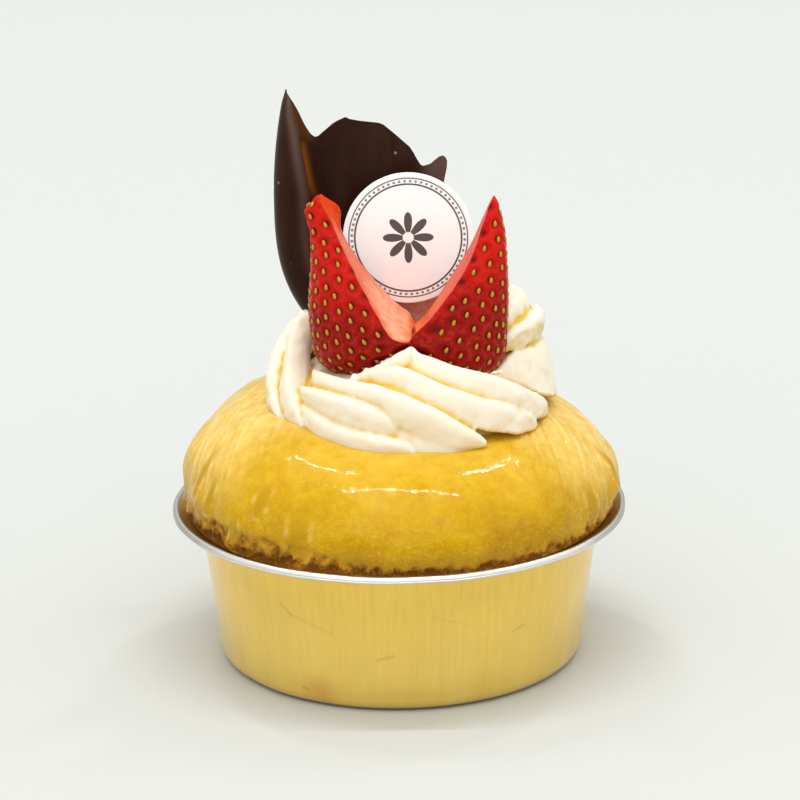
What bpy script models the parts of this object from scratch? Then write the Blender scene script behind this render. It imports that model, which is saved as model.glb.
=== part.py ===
"""Rum baba in its gold foil cup, with a piped cream rosette, strawberries,
a curled chocolate shard and a round white plaque.

Metres, +Z up. The origin is the middle of the foil cup's base, on the table,
and -Y is the front. Angles round the cake count from the front towards +X.
"""
import math
import random

import bmesh
import bpy
from mathutils import Matrix, Vector, noise

MM = 0.001
CLEARANCE = 0.3 * MM

# Foil cup
CUP_RIM_RADIUS = 44.0 * MM
CUP_RIM_HEIGHT = 30.3 * MM
CUP_BEAD_RADIUS = 0.72 * MM
CUP_WALL_TOP_RADIUS = 38.8 * MM
CUP_WALL_BASE_RADIUS = 35.5 * MM
CUP_CORNER_RADIUS = 3.0 * MM
CUP_FOIL = 0.3 * MM
CUP_NECK = 0.9 * MM
CUP_SEGMENTS = 50

# Baba cake
CAKE_SHOULDER_RADIUS = 42.1 * MM
CAKE_SHOULDER_HEIGHT = 33.0 * MM
CAKE_CROWN_RADIUS = 21.8 * MM
CAKE_CROWN_RISE = 17.3 * MM
CAKE_CROWN_SQUARENESS = 2.04
CAKE_UNDERSIDE_RADIUS = 39.3 * MM
CAKE_TILT = Vector((-0.03, 0.05))
CAKE_LOBES = ((2, 0.35, 0.6), (3, 0.40, 2.1), (5, 0.35, 0.3), (8, 0.22, 1.4), (13, 0.14, 4.0))
CAKE_CRUST_BUMP = 0.30 * MM
CAKE_CRUST_BUMP_SIZE = 5.0 * MM
CAKE_SEGMENTS = 64

# Cream rosette: the core and the strands piped round it
CREAM_CENTRE = Vector((1.5, 1.0, 0.0)) * MM
CREAM_CORE = ((0.0, 47.0), (23.4, 47.0), (24.2, 51.0), (22.6, 55.5), (19.0, 58.8), (13.0, 61.2), (0.0, 62.4))
CREAM_CORE_SEGMENTS = 40
CREAM_VOXEL = 0.9 * MM
CREAM_KEEP = 0.105
CREAM_STRAND_POINTS = 9
# Each strand: angle at its start and end (degrees), radius and height at its start,
# radius and height at its end, and its half thickness (mm)
CREAM_FRONT_STRANDS = (
    (-52, -4, 23.0, 52.0, 25.8, 49.8, 3.0),
    (-14, 30, 23.0, 50.6, 25.4, 49.6, 2.4),
    (-58, -8, 19.5, 57.5, 24.4, 52.8, 3.2),
    (-66, 29, 18.0, 58.2, 25.6, 51.0, 3.5),
    (-20, 61, 16.5, 57.8, 26.8, 50.6, 3.5),
    (4, 78, 12.5, 60.2, 26.6, 52.0, 3.7),
    (70, 112, 19.5, 60.5, 25.8, 52.8, 4.8),
    (84, 134, 19.4, 64.0, 25.2, 62.4, 4.4),
    (-112, -52, 11.0, 63.6, 24.6, 50.2, 3.4),
    (-128, -78, 12.8, 63.6, 21.6, 51.8, 4.2),
    (-168, -112, 14.0, 62.8, 18.8, 60.5, 4.2),
)
CREAM_BACK_ENDS = (132, 160, 188, 216, 244, 270)
CREAM_BACK_SWEEP = 72
CREAM_BACK_STRAND = (15.0, 61.5, 25.0, 51.0, 4.0)
CREAM_UPPER_ENDS = (150, 195, 240)
CREAM_UPPER_STRAND = (9.0, 62.5, 20.0, 59.5, 3.8)

# Strawberry pieces: each profile is radius and distance from the hull end (mm), and
# the cut face passes the axis by so much at the hull end and at the tip
LEFT_TIP = Vector((-14.5, -3.7, 91.7)) * MM
LEFT_HULL = Vector((1.7, -5.0, 64.4)) * MM
LEFT_PROFILE = (
    (0.0, 0.8), (7.0, 0.0), (13.0, -0.2), (15.2, 1.6), (16.6, 5.6), (15.0, 10.5),
    (12.0, 16.0), (8.4, 21.1), (5.2, 26.2), (3.9, 29.7), (3.0, 31.6), (0.0, 32.4),
)
LEFT_DEPTH = 0.66
LEFT_YAW = -1.2
LEFT_CUT = (-1.6 * MM, 0.4 * MM)
LEFT_TOE = 2.4 * MM
RIGHT_TIP = Vector((18.3, -4.7, 92.6)) * MM
RIGHT_HULL = Vector((5.6, -5.0, 62.6)) * MM
RIGHT_PROFILE = (
    (0.0, 0.8), (7.0, 0.0), (12.2, -0.2), (14.4, 2.0), (14.2, 5.9), (12.5, 10.8),
    (10.3, 16.3), (7.9, 21.6), (5.3, 26.8), (2.8, 30.4), (1.2, 32.0), (0.0, 32.7),
)
RIGHT_DEPTH = 0.56
RIGHT_YAW = -4.7
RIGHT_CUT = (1.2 * MM, -0.6 * MM)
RIGHT_TOE = 1.3 * MM
BACK_TIP = Vector((3.0, 12.4, 82.3)) * MM
BACK_HULL = Vector((2.6, 7.8, 59.5)) * MM
BACK_PROFILE = (
    (0.0, 0.6), (4.0, 0.0), (6.6, 0.6), (7.5, 3.4), (7.3, 8.0),
    (6.0, 13.4), (4.2, 18.2), (2.5, 21.4), (1.2, 22.9), (0.0, 23.5),
)
BACK_DEPTH = 1.45
BACK_CUT = (0.0, 0.0)
BACK_TOE = 0.0
# The slices stop short of the hull end, where the pieces still hang together
TOE_HEIGHT = 2.2 * MM
BERRY_SEGMENTS = 20
BERRY_SEAT_CLEARANCE = 0.8 * MM
SEED_LENGTH = 1.9 * MM
SEED_WIDTH = 1.2 * MM
SEED_HEIGHT = 0.9 * MM
SEED_SINK = 0.08 * MM
SEED_SIDES = 6
SEED_ROW_SPACING = 3.5 * MM
SEED_SPACING = 4.9 * MM
SEED_JITTER = 0.14
SEED_EDGE_MARGIN = math.radians(9)
SEED_HULL_MARGIN = 3.6 * MM
SEED_TIP_MARGIN = 1.4 * MM

# Chocolate shard: a thin sheet curled round an upright bend at its left
SHARD_THICKNESS = 1.1 * MM
SHARD_BEND_RADIUS = 4.2 * MM
SHARD_BEND_PLACE = Vector((-18.8, 12.5, 64.0)) * MM
SHARD_LEAN = 0.075
# The bend stands furthest left at its waist and draws in above and below it
SHARD_WAIST_HEIGHT = 87.0 * MM
SHARD_TOP_DRAW = (3.4 * MM, 21.5 * MM)
SHARD_FOOT_DRAW = (4.5 * MM, 20.8 * MM)
# Top edge: distance along the sheet from the bend and height (mm)
SHARD_TOP_EDGE = (
    (-9.4, 86.0), (-8.8, 91.0), (-7.7, 95.9), (-6.4, 99.9), (-5.1, 103.8), (-3.4, 106.3),
    (0.0, 107.8), (3.6, 104.5), (5.7, 101.8), (8.0, 98.6), (9.6, 97.5), (11.1, 99.3),
    (12.7, 100.9), (14.5, 101.6), (16.0, 101.0), (21.6, 100.4), (23.3, 99.3), (25.1, 97.9),
    (27.4, 96.1), (29.1, 93.9), (30.4, 91.5), (31.2, 91.6), (32.4, 92.1), (33.5, 93.6),
    (34.7, 94.0), (35.5, 93.0),
)
SHARD_FOOT_EDGE = (
    (-9.4, 69.0), (-6.5, 64.4), (-2.0, 61.6), (6.0, 61.0), (11.0, 62.6), (14.0, 67.0),
    (18.0, 76.0), (24.0, 80.5), (31.4, 83.0), (33.9, 85.5), (34.9, 88.4), (35.5, 91.8),
)
SHARD_COLUMNS = 40
SHARD_ROWS = 5

# Round plaque, leaning back on the strawberry behind it
PLAQUE_RADIUS = 12.6 * MM
PLAQUE_THICKNESS = 0.9 * MM
PLAQUE_CENTRE = Vector((2.5, 10.1, 80.1)) * MM
PLAQUE_LEAN = math.radians(17.8)
PLAQUE_SEGMENTS = 44
PLAQUE_EDGE = 0.15 * MM


def clear_scene():
    for old in list(bpy.data.objects):
        bpy.data.objects.remove(old, do_unlink=True)


def material(name, colour, roughness, metallic=0.0):
    """A Principled material in one plain colour."""
    made = bpy.data.materials.new(name)
    made.use_nodes = True
    shader = made.node_tree.nodes["Principled BSDF"]
    shader.inputs["Base Color"].default_value = (*colour, 1.0)
    shader.inputs["Roughness"].default_value = roughness
    shader.inputs["Metallic"].default_value = metallic
    return made


def object_from(name, shape, finish=None, smooth_angle=35.0):
    """Turn a bmesh into a named object, shaded smooth up to the given angle."""
    mesh = bpy.data.meshes.new(name)
    shape.to_mesh(mesh)
    shape.free()
    mesh.shade_smooth()
    mesh.set_sharp_from_angle(angle=math.radians(smooth_angle))
    made = bpy.data.objects.new(name, mesh)
    bpy.context.scene.collection.objects.link(made)
    if finish:
        mesh.materials.append(finish)
    return made


def apply_modifiers(piece):
    """Bake an object's modifiers into its mesh."""
    depsgraph = bpy.context.evaluated_depsgraph_get()
    baked = bpy.data.meshes.new_from_object(piece.evaluated_get(depsgraph))
    piece.modifiers.clear()
    piece.data = baked


def arc(centre, radius, start, end, steps):
    """Points of an arc in the profile plane, angles in degrees from +X."""
    points = []
    for step in range(steps + 1):
        angle = math.radians(start + (end - start) * step / steps)
        points.append((centre[0] + radius * math.cos(angle), centre[1] + radius * math.sin(angle)))
    return points


def blend(table, place):
    """Value at a place between the rows of a table of (place, value) pairs."""
    if place <= table[0][0]:
        return table[0][1]
    for (start, low), (end, high) in zip(table, table[1:]):
        if place <= end:
            share = (place - start) / (end - start)
            return low + (high - low) * share
    return table[-1][1]


def turned(profile, segments):
    """A solid of revolution from a profile of (radius, height) that starts and ends on the axis."""
    shape = bmesh.new()
    points = [shape.verts.new((radius, 0.0, height)) for radius, height in profile]
    edges = [shape.edges.new(pair) for pair in zip(points, points[1:])]
    bmesh.ops.spin(shape, geom=points + edges, axis=(0, 0, 1), cent=(0, 0, 0),
                   angle=math.tau, steps=segments, use_merge=True)
    bmesh.ops.remove_doubles(shape, verts=shape.verts, dist=0.00001)
    bmesh.ops.recalc_face_normals(shape, faces=shape.faces)
    return shape


def make_foil_cup():
    """Pressed cup: flat base, leaning wall, flat flange and a rolled bead at its edge."""
    corner = CUP_CORNER_RADIUS
    base_radius = CUP_WALL_BASE_RADIUS - corner
    bead_centre = (CUP_RIM_RADIUS - CUP_BEAD_RADIUS, CUP_RIM_HEIGHT - CUP_BEAD_RADIUS)
    flange_top = CUP_RIM_HEIGHT - 0.35 * MM
    flange_bottom = flange_top - CUP_FOIL
    neck = CUP_NECK
    outside = [(0.0, 0.0)]
    outside += arc((base_radius, corner), corner, -90, -8, 4)
    outside += [(CUP_WALL_TOP_RADIUS, flange_bottom - neck)]
    outside += [(CUP_WALL_TOP_RADIUS + neck, flange_bottom)]
    outside += arc(bead_centre, CUP_BEAD_RADIUS, 165, 385, 5)
    outside += arc(bead_centre, CUP_BEAD_RADIUS, 90, 138, 1)
    inside = [(CUP_WALL_TOP_RADIUS + neck, flange_top)]
    inside += [(CUP_WALL_TOP_RADIUS - CUP_FOIL, flange_top - neck - CUP_FOIL)]
    inside += arc((base_radius, corner), corner - CUP_FOIL, -8, -90, 3)
    inside += [(0.0, CUP_FOIL)]
    gold = material("gold_foil", (0.62, 0.43, 0.12), 0.32, 1.0)
    object_from("foil_cup", turned(outside + inside, CUP_SEGMENTS), gold, 30.0)


def cake_profile(extra):
    """Baba outline: a plug that fills the cup and a bun that swells over its flange."""
    plug_base = CUP_WALL_BASE_RADIUS - CUP_FOIL - 2 * CLEARANCE
    plug_top = CUP_WALL_TOP_RADIUS - CUP_FOIL - 2 * CLEARANCE
    floor = CUP_FOIL + CLEARANCE
    flange_gap = CUP_RIM_HEIGHT + CLEARANCE
    points = [(0.0, floor), (plug_base - CUP_CORNER_RADIUS, floor)]
    points += [(plug_base - 0.25 * CUP_CORNER_RADIUS, floor + 0.5 * CUP_CORNER_RADIUS)]
    points += [(plug_base + 0.2 * MM, floor + CUP_CORNER_RADIUS + 0.5 * MM)]
    points += [(plug_top - 0.25 * MM, CUP_RIM_HEIGHT - 2.4 * MM)]
    points += [(plug_top, flange_gap)]
    points += [(CAKE_UNDERSIDE_RADIUS + extra * 0.5, flange_gap)]
    turn = CAKE_SHOULDER_RADIUS - CAKE_UNDERSIDE_RADIUS
    drop = CAKE_SHOULDER_HEIGHT - flange_gap
    for step in (1, 2):
        angle = math.radians(30 * step)
        points.append((CAKE_UNDERSIDE_RADIUS + turn * math.sin(angle) + extra,
                       CAKE_SHOULDER_HEIGHT - drop * math.cos(angle)))
    power = 2.0 / CAKE_CROWN_SQUARENESS
    for step in range(9):
        angle = math.radians(90 * step / 9)
        reach = (CAKE_SHOULDER_RADIUS - CAKE_CROWN_RADIUS) * math.cos(angle) ** power
        rise = (CAKE_CROWN_RISE + extra) * math.sin(angle) ** power
        points.append((CAKE_CROWN_RADIUS + reach + extra, CAKE_SHOULDER_HEIGHT + rise))
    points.append((CAKE_CROWN_RADIUS, CAKE_SHOULDER_HEIGHT + CAKE_CROWN_RISE + extra))
    points.append((0.5 * CAKE_CROWN_RADIUS, CAKE_SHOULDER_HEIGHT + CAKE_CROWN_RISE + extra))
    points.append((0.0, CAKE_SHOULDER_HEIGHT + CAKE_CROWN_RISE + extra))
    return points


def make_uneven(shape):
    """Tilt the crown, swell the sides in lobes and roughen the crust, above the cup's rim."""
    crown = CAKE_SHOULDER_HEIGHT + CAKE_CROWN_RISE
    for vert in shape.verts:
        place = vert.co.copy()
        above_rim = (place.z - CUP_RIM_HEIGHT - CLEARANCE) / (CAKE_SHOULDER_HEIGHT - CUP_RIM_HEIGHT)
        above_rim = min(max(above_rim, 0.0), 1.0)
        rise = max(place.z - CAKE_SHOULDER_HEIGHT, 0.0) / (crown - CAKE_SHOULDER_HEIGHT)
        angle = math.atan2(place.x, -place.y)
        swell = sum(size * math.sin(count * angle + phase) for count, size, phase in CAKE_LOBES)
        out = Vector((place.x, place.y, 0.0))
        reach = min(out.length / CAKE_SHOULDER_RADIUS, 1.0)
        bump = noise.noise(place / CAKE_CRUST_BUMP_SIZE) * CAKE_CRUST_BUMP
        if out.length > 0.0:
            vert.co += out.normalized() * (swell * MM + bump) * above_rim * reach
        vert.co.z += (CAKE_TILT.x * place.x + CAKE_TILT.y * place.y) * min(rise, 1.0) + bump * min(rise, 1.0)


def make_baba_cake():
    shape = turned(cake_profile(0.0), CAKE_SEGMENTS)
    make_uneven(shape)
    crust = material("syrup_soaked_crumb", (0.80, 0.50, 0.08), 0.3)
    object_from("baba_cake", shape, crust)


def cake_clearance_cutter():
    """The cake's top, a little larger, which shapes the underside of the cream."""
    shape = turned(cake_profile(CLEARANCE), CAKE_SEGMENTS)
    make_uneven(shape)
    return object_from("cake_clearance", shape)


def round_cake(angle_degrees, radius, height):
    angle = math.radians(angle_degrees)
    return CREAM_CENTRE + Vector((radius * math.sin(angle), -radius * math.cos(angle), height))


def cream_strand(index, strand):
    """A tapering rope of cream that sweeps outwards and down round the rosette."""
    start_angle, end_angle, start_radius, start_height, end_radius, end_height, thickness = strand
    path = bpy.data.curves.new(f"cream_strand_{index}", "CURVE")
    path.dimensions = "3D"
    path.bevel_depth = thickness * MM
    path.bevel_resolution = 2
    path.use_fill_caps = True
    line = path.splines.new("POLY")
    line.points.add(CREAM_STRAND_POINTS - 1)
    for step, point in enumerate(line.points):
        share = step / (CREAM_STRAND_POINTS - 1)
        outward = math.sin(0.5 * math.pi * share)
        fall = share ** 1.3
        place = round_cake(start_angle + (end_angle - start_angle) * share,
                           (start_radius + (end_radius - start_radius) * outward) * MM,
                           (start_height + (end_height - start_height) * fall) * MM)
        point.co = (*place, 1.0)
        point.radius = 0.35 + 0.65 * math.sin(math.pi * (0.16 + 0.74 * share)) ** 0.6
    made = bpy.data.objects.new(path.name, path)
    bpy.context.scene.collection.objects.link(made)
    return made


def all_cream_strands():
    strands = list(CREAM_FRONT_STRANDS)
    strands += [(end - CREAM_BACK_SWEEP, end, *CREAM_BACK_STRAND) for end in CREAM_BACK_ENDS]
    strands += [(end - CREAM_BACK_SWEEP, end, *CREAM_UPPER_STRAND) for end in CREAM_UPPER_ENDS]
    return strands


def make_cream_rosette(cutters):
    """Core and strands run together into one mass, seated on the cake and round what it holds."""
    core = turned([(radius * MM, height * MM) for radius, height in CREAM_CORE], CREAM_CORE_SEGMENTS)
    bmesh.ops.translate(core, verts=core.verts, vec=CREAM_CENTRE)
    depsgraph = bpy.context.evaluated_depsgraph_get()
    for index, strand in enumerate(all_cream_strands()):
        rope = cream_strand(index, strand)
        depsgraph.update()
        mesh = bpy.data.meshes.new_from_object(rope.evaluated_get(depsgraph))
        core.from_mesh(mesh)
        bpy.data.objects.remove(rope, do_unlink=True)
    cream = material("whipped_cream", (0.93, 0.86, 0.66), 0.5)
    rosette = object_from("cream_rosette", core, cream, 60.0)
    fuse = rosette.modifiers.new("fuse", "REMESH")
    fuse.mode = "VOXEL"
    fuse.voxel_size = CREAM_VOXEL
    thin = rosette.modifiers.new("thin", "DECIMATE")
    thin.ratio = CREAM_KEEP
    for cutter in cutters:
        seat = rosette.modifiers.new("seat_" + cutter.name, "BOOLEAN")
        seat.operation = "DIFFERENCE"
        seat.object = cutter
    apply_modifiers(rosette)
    rosette.data.shade_smooth()
    rosette.data.set_sharp_from_angle(angle=math.radians(60.0))


def berry_frame(tip, hull, cut_side, yaw):
    """Berry axes: Z from the hull end to the tip, X away from the cut face."""
    up = (tip - hull).normalized()
    away = cut_side - up * cut_side.dot(up)
    away.normalize()
    across = up.cross(away)
    turn = Matrix((away, across, up)).transposed().to_4x4()
    return Matrix.Translation(hull) @ turn @ Matrix.Rotation(math.radians(yaw), 4, "Z")


def berry_shape(profile, depth, cut, toe, extra):
    """A turned strawberry, flattened a little and sliced by a flat cut face."""
    outline = []
    for radius, height in profile:
        grow = extra if radius > 0.0 else 0.0
        lift = math.copysign(extra, height - 0.3 * profile[-1][1])
        outline.append((radius * MM + grow, height * MM + lift))
    shape = turned(outline, BERRY_SEGMENTS)
    bmesh.ops.scale(shape, verts=shape.verts, vec=(1.0, depth, 1.0))
    at_hull, at_tip = cut
    slope = (at_tip - at_hull) / (profile[-1][1] * MM)
    sliced = bmesh.ops.bisect_plane(shape, geom=shape.verts[:] + shape.edges[:] + shape.faces[:],
                                    plane_co=(-at_hull - extra, 0.0, 0.0),
                                    plane_no=(-1.0, 0.0, -slope), clear_outer=True)
    rim = [part for part in sliced["geom_cut"] if isinstance(part, bmesh.types.BMEdge)]
    bmesh.ops.contextual_create(shape, geom=rim)
    bmesh.ops.recalc_face_normals(shape, faces=shape.faces)
    toe_verts = {vert for edge in rim for vert in edge.verts if vert.co.z < TOE_HEIGHT}
    bmesh.ops.translate(shape, verts=list(toe_verts), vec=(-toe, 0.0, 0.0))
    return shape


def seed_places(profile, depth, seed):
    """Seeds in staggered rows over the skin, with a little disorder."""
    draw = random.Random(seed)
    outline = [Vector((radius, height)) * MM for radius, height in profile]
    outline = outline[2:]
    travel = 0.0
    row = 0
    next_row = SEED_HULL_MARGIN
    length = sum((b - a).length for a, b in zip(outline, outline[1:]))
    for low, high in zip(outline, outline[1:]):
        step = (high - low).length
        while next_row < travel + step and next_row < length - SEED_TIP_MARGIN:
            share = (next_row - travel) / step
            radius, height = low.lerp(high, share)
            slope = (high - low).normalized()
            count = max(1, round(math.pi * radius * 0.9 / SEED_SPACING))
            gap = (math.pi - 2 * SEED_EDGE_MARGIN) / count
            for index in range(count):
                wander = SEED_JITTER * draw.uniform(-1, 1)
                angle = -0.5 * math.pi + SEED_EDGE_MARGIN + gap * (index + 0.5 + 0.25 * (-1) ** row + wander)
                shift = SEED_JITTER * SEED_ROW_SPACING * draw.uniform(-1, 1)
                yield radius + slope.x * shift, height + slope.y * shift, angle, slope, depth
            row += 1
            next_row += SEED_ROW_SPACING
        travel += step


def berry_seed(place):
    """One pointed seed lying in the skin, its length along the berry."""
    radius, height, angle, slope, depth = place
    at = Vector((radius * math.cos(angle), depth * radius * math.sin(angle), height))
    round_the_berry = Vector((-math.sin(angle), depth * math.cos(angle), 0.0)).normalized()
    along = Vector((slope.x * math.cos(angle), depth * slope.x * math.sin(angle), slope.y)).normalized()
    out = round_the_berry.cross(along).normalized()
    seed = bmesh.new()
    bmesh.ops.create_uvsphere(seed, u_segments=SEED_SIDES, v_segments=2, radius=0.5)
    bmesh.ops.scale(seed, verts=seed.verts, vec=(SEED_WIDTH, SEED_LENGTH, SEED_HEIGHT))
    turn = Matrix((round_the_berry, along, out)).transposed().to_4x4()
    bmesh.ops.transform(seed, verts=seed.verts, matrix=Matrix.Translation(at - out * SEED_SINK) @ turn)
    return seed


def make_strawberry(name, frame, profile, depth, cut, toe, seed):
    """A cut strawberry with its seeds fused to the skin."""
    shape = berry_shape(profile, depth, cut, toe, 0.0)
    shape.transform(frame)
    flesh = material(name + "_skin", (0.55, 0.03, 0.02), 0.3)
    berry = object_from(name, shape, flesh, 40.0)
    group = bpy.data.collections.new(name + "_seeds")
    for index, place in enumerate(seed_places(profile, depth, seed)):
        grain = berry_seed(place)
        grain.transform(frame)
        grain_object = object_from(f"{name}_seed_{index}", grain)
        bpy.context.scene.collection.objects.unlink(grain_object)
        group.objects.link(grain_object)
    union = berry.modifiers.new("seeds", "BOOLEAN")
    union.operation = "UNION"
    union.operand_type = "COLLECTION"
    union.collection = group
    union.solver = "MANIFOLD"
    bpy.context.scene.collection.children.link(group)
    apply_modifiers(berry)
    for grain_object in list(group.objects):
        bpy.data.objects.remove(grain_object, do_unlink=True)
    bpy.data.collections.remove(group)


def berry_cutter(name, frame, profile, depth, cut, toe):
    shape = berry_shape(profile, depth, cut, toe, BERRY_SEAT_CLEARANCE)
    shape.transform(frame)
    return object_from(name, shape)


def shard_draw(height):
    """How far the bend draws in from its waist at a height."""
    away = height - SHARD_WAIST_HEIGHT
    if away > 0.0:
        return SHARD_TOP_DRAW[0] * (away / SHARD_TOP_DRAW[1]) ** 2
    return SHARD_FOOT_DRAW[0] * (-away / SHARD_FOOT_DRAW[1]) ** 3


def shard_point(along, height):
    """Place of a point of the flat sheet once it is curled round the bend."""
    quarter = 0.5 * math.pi * SHARD_BEND_RADIUS
    if abs(along) < quarter:
        angle = along / SHARD_BEND_RADIUS
        x = -SHARD_BEND_RADIUS * math.cos(angle)
        y = SHARD_BEND_RADIUS * math.sin(angle)
    else:
        x = abs(along) - quarter
        y = math.copysign(SHARD_BEND_RADIUS, along)
    lean = SHARD_LEAN * (height - SHARD_BEND_PLACE.z)
    return SHARD_BEND_PLACE + Vector((x + shard_draw(height), y + lean, height - SHARD_BEND_PLACE.z))


def shard_sheet(extra=0.0):
    """The curled sheet as a grid between its foot edge and its top edge."""
    shape = bmesh.new()
    start = SHARD_TOP_EDGE[0][0] - extra / MM
    end = SHARD_TOP_EDGE[-1][0] + extra / MM
    columns = []
    for column in range(SHARD_COLUMNS + 1):
        along = start + (end - start) * column / SHARD_COLUMNS
        foot = blend(SHARD_FOOT_EDGE, along) * MM - extra
        top = blend(SHARD_TOP_EDGE, along) * MM
        points = []
        for row in range(SHARD_ROWS + 1):
            height = foot + (top - foot) * row / SHARD_ROWS
            points.append(shape.verts.new(shard_point(along * MM, height)))
        columns.append(points)
    for left, right in zip(columns, columns[1:]):
        for row in range(SHARD_ROWS):
            shape.faces.new((left[row], right[row], right[row + 1], left[row + 1]))
    bmesh.ops.recalc_face_normals(shape, faces=shape.faces)
    return shape


def make_chocolate_shard():
    chocolate = material("dark_chocolate", (0.045, 0.018, 0.008), 0.35)
    shard = object_from("chocolate_shard", shard_sheet(), chocolate, 50.0)
    wall = shard.modifiers.new("thickness", "SOLIDIFY")
    wall.thickness = SHARD_THICKNESS
    wall.offset = 0.0
    wall.use_even_offset = True


def shard_cutter():
    """The sheet with clearance all round, for the slot it makes in the cream."""
    slot = object_from("shard_slot", shard_sheet(2 * CLEARANCE))
    wall = slot.modifiers.new("thickness", "SOLIDIFY")
    wall.thickness = SHARD_THICKNESS + 3 * CLEARANCE
    wall.offset = 0.0
    wall.use_even_offset = True
    apply_modifiers(slot)
    return slot


def make_plaque():
    """Thin round plaque that leans back."""
    shape = bmesh.new()
    bmesh.ops.create_cone(shape, cap_ends=True, segments=PLAQUE_SEGMENTS, radius1=PLAQUE_RADIUS,
                          radius2=PLAQUE_RADIUS, depth=PLAQUE_THICKNESS)
    rims = [edge for edge in shape.edges if abs(edge.verts[0].co.z - edge.verts[1].co.z) < 0.00001]
    bmesh.ops.bevel(shape, geom=rims, offset=PLAQUE_EDGE, affect="EDGES", segments=1,
                    profile=0.5, material=-1)
    turn = Matrix.Rotation(0.5 * math.pi - PLAQUE_LEAN, 4, "X")
    shape.transform(Matrix.Translation(PLAQUE_CENTRE) @ turn)
    sugar = material("white_plaque", (0.90, 0.86, 0.83), 0.4)
    object_from("plaque_disc", shape, sugar)


def main():
    clear_scene()
    make_foil_cup()
    make_baba_cake()
    left = berry_frame(LEFT_TIP, LEFT_HULL, Vector((-1, 0, 0)), LEFT_YAW)
    right = berry_frame(RIGHT_TIP, RIGHT_HULL, Vector((1, 0, 0)), RIGHT_YAW)
    back = berry_frame(BACK_TIP, BACK_HULL, Vector((0, 1, 0)), 0.0)
    cutters = [
        cake_clearance_cutter(),
        berry_cutter("left_seat", left, LEFT_PROFILE, LEFT_DEPTH, LEFT_CUT, LEFT_TOE),
        berry_cutter("right_seat", right, RIGHT_PROFILE, RIGHT_DEPTH, RIGHT_CUT, RIGHT_TOE),
        berry_cutter("back_seat", back, BACK_PROFILE, BACK_DEPTH, BACK_CUT, BACK_TOE),
        shard_cutter(),
    ]
    make_cream_rosette(cutters)
    for cutter in cutters:
        bpy.data.objects.remove(cutter, do_unlink=True)
    make_strawberry("strawberry_left", left, LEFT_PROFILE, LEFT_DEPTH, LEFT_CUT, LEFT_TOE, 3)
    make_strawberry("strawberry_right", right, RIGHT_PROFILE, RIGHT_DEPTH, RIGHT_CUT, RIGHT_TOE, 7)
    make_strawberry("strawberry_back", back, BACK_PROFILE, BACK_DEPTH, BACK_CUT, BACK_TOE, 11)
    make_chocolate_shard()
    make_plaque()


main()
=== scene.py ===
import math
import random

import bmesh
import bpy
from bpy.props import FloatProperty, FloatVectorProperty, PointerProperty
from mathutils import Matrix, Vector, kdtree, noise


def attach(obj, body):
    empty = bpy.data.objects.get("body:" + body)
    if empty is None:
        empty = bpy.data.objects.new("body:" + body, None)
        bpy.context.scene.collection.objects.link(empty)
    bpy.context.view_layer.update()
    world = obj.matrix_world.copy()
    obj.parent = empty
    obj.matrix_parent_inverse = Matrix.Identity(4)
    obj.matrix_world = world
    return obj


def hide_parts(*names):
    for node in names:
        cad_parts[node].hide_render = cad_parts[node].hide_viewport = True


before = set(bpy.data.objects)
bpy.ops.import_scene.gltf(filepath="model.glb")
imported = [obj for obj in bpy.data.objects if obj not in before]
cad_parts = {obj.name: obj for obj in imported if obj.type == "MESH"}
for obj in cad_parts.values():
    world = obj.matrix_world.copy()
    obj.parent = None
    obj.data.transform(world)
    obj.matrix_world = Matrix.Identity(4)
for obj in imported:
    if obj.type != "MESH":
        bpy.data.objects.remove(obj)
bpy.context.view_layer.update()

bl_info = {
    "name": "Rum baba",
    "version": (1, 0, 0),
    "blender": (4, 5, 0),
    "location": "View3D > Sidebar > Baba",
    "description": "Makes a glazed rum baba in its foil cup, with its toppings and stage",
    "category": "Object",
}

MM = 0.001
GAP = 0.3 * MM


def colour(hex_code):
    """Linear colour of an sRGB hex value."""
    parts = [int(hex_code[at:at + 2], 16) / 255 for at in (0, 2, 4)]
    return tuple(part / 12.92 if part <= 0.04045 else ((part + 0.055) / 1.055) ** 2.4 for part in parts)


def size_of(millimetres, name, description):
    return FloatProperty(name=name, description=description, default=millimetres * MM,
                         unit="LENGTH", subtype="DISTANCE", precision=4)


def tint(hex_code, name, description):
    return FloatVectorProperty(name=name, description=description, default=colour(hex_code),
                               subtype="COLOR", min=0.0, max=1.0)


class CupSettings(bpy.types.PropertyGroup):
    rim_radius: size_of(44.0, "Rim radius", "Radius over the rolled bead")
    rim_height: size_of(30.3, "Rim height", "Height of the bead's top")
    bead_radius: size_of(0.72, "Bead radius", "Radius of the rolled bead")
    wall_top: size_of(38.8, "Wall top radius", "Radius of the wall under the flange")
    wall_base: size_of(35.5, "Wall base radius", "Radius of the wall at the base corner")
    corner: size_of(3.0, "Corner radius", "Radius between the wall and the base")
    foil: size_of(0.3, "Foil", "Thickness of the pressed foil")
    lacquer: tint("F6CE58", "Lacquer", "Gold lacquer on the foil")
    bare: tint("F2F1EE", "Bare edge", "Bare aluminium of the rolled bead")


class CakeSettings(bpy.types.PropertyGroup):
    shoulder_radius: size_of(42.1, "Shoulder radius", "Widest radius of the bun")
    shoulder_height: size_of(33.0, "Shoulder height", "Height of the widest part")
    crown_radius: size_of(21.8, "Crown radius", "Radius of the flat crown")
    crown_rise: size_of(17.3, "Crown rise", "Rise from the shoulder to the crown")
    underside_radius: size_of(39.3, "Underside radius", "Radius where the bun turns under")
    glaze: tint("D0A60C", "Glaze", "Syrup-soaked crust")
    pale: tint("DCB438", "Pale crust", "Crust where the glaze is thin")
    deep: tint("BC8F06", "Deep glaze", "Glaze that has run down and pooled")
    crumb: tint("A06E1E", "Torn crumb", "Baked crumb at the torn lower edge")


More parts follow.
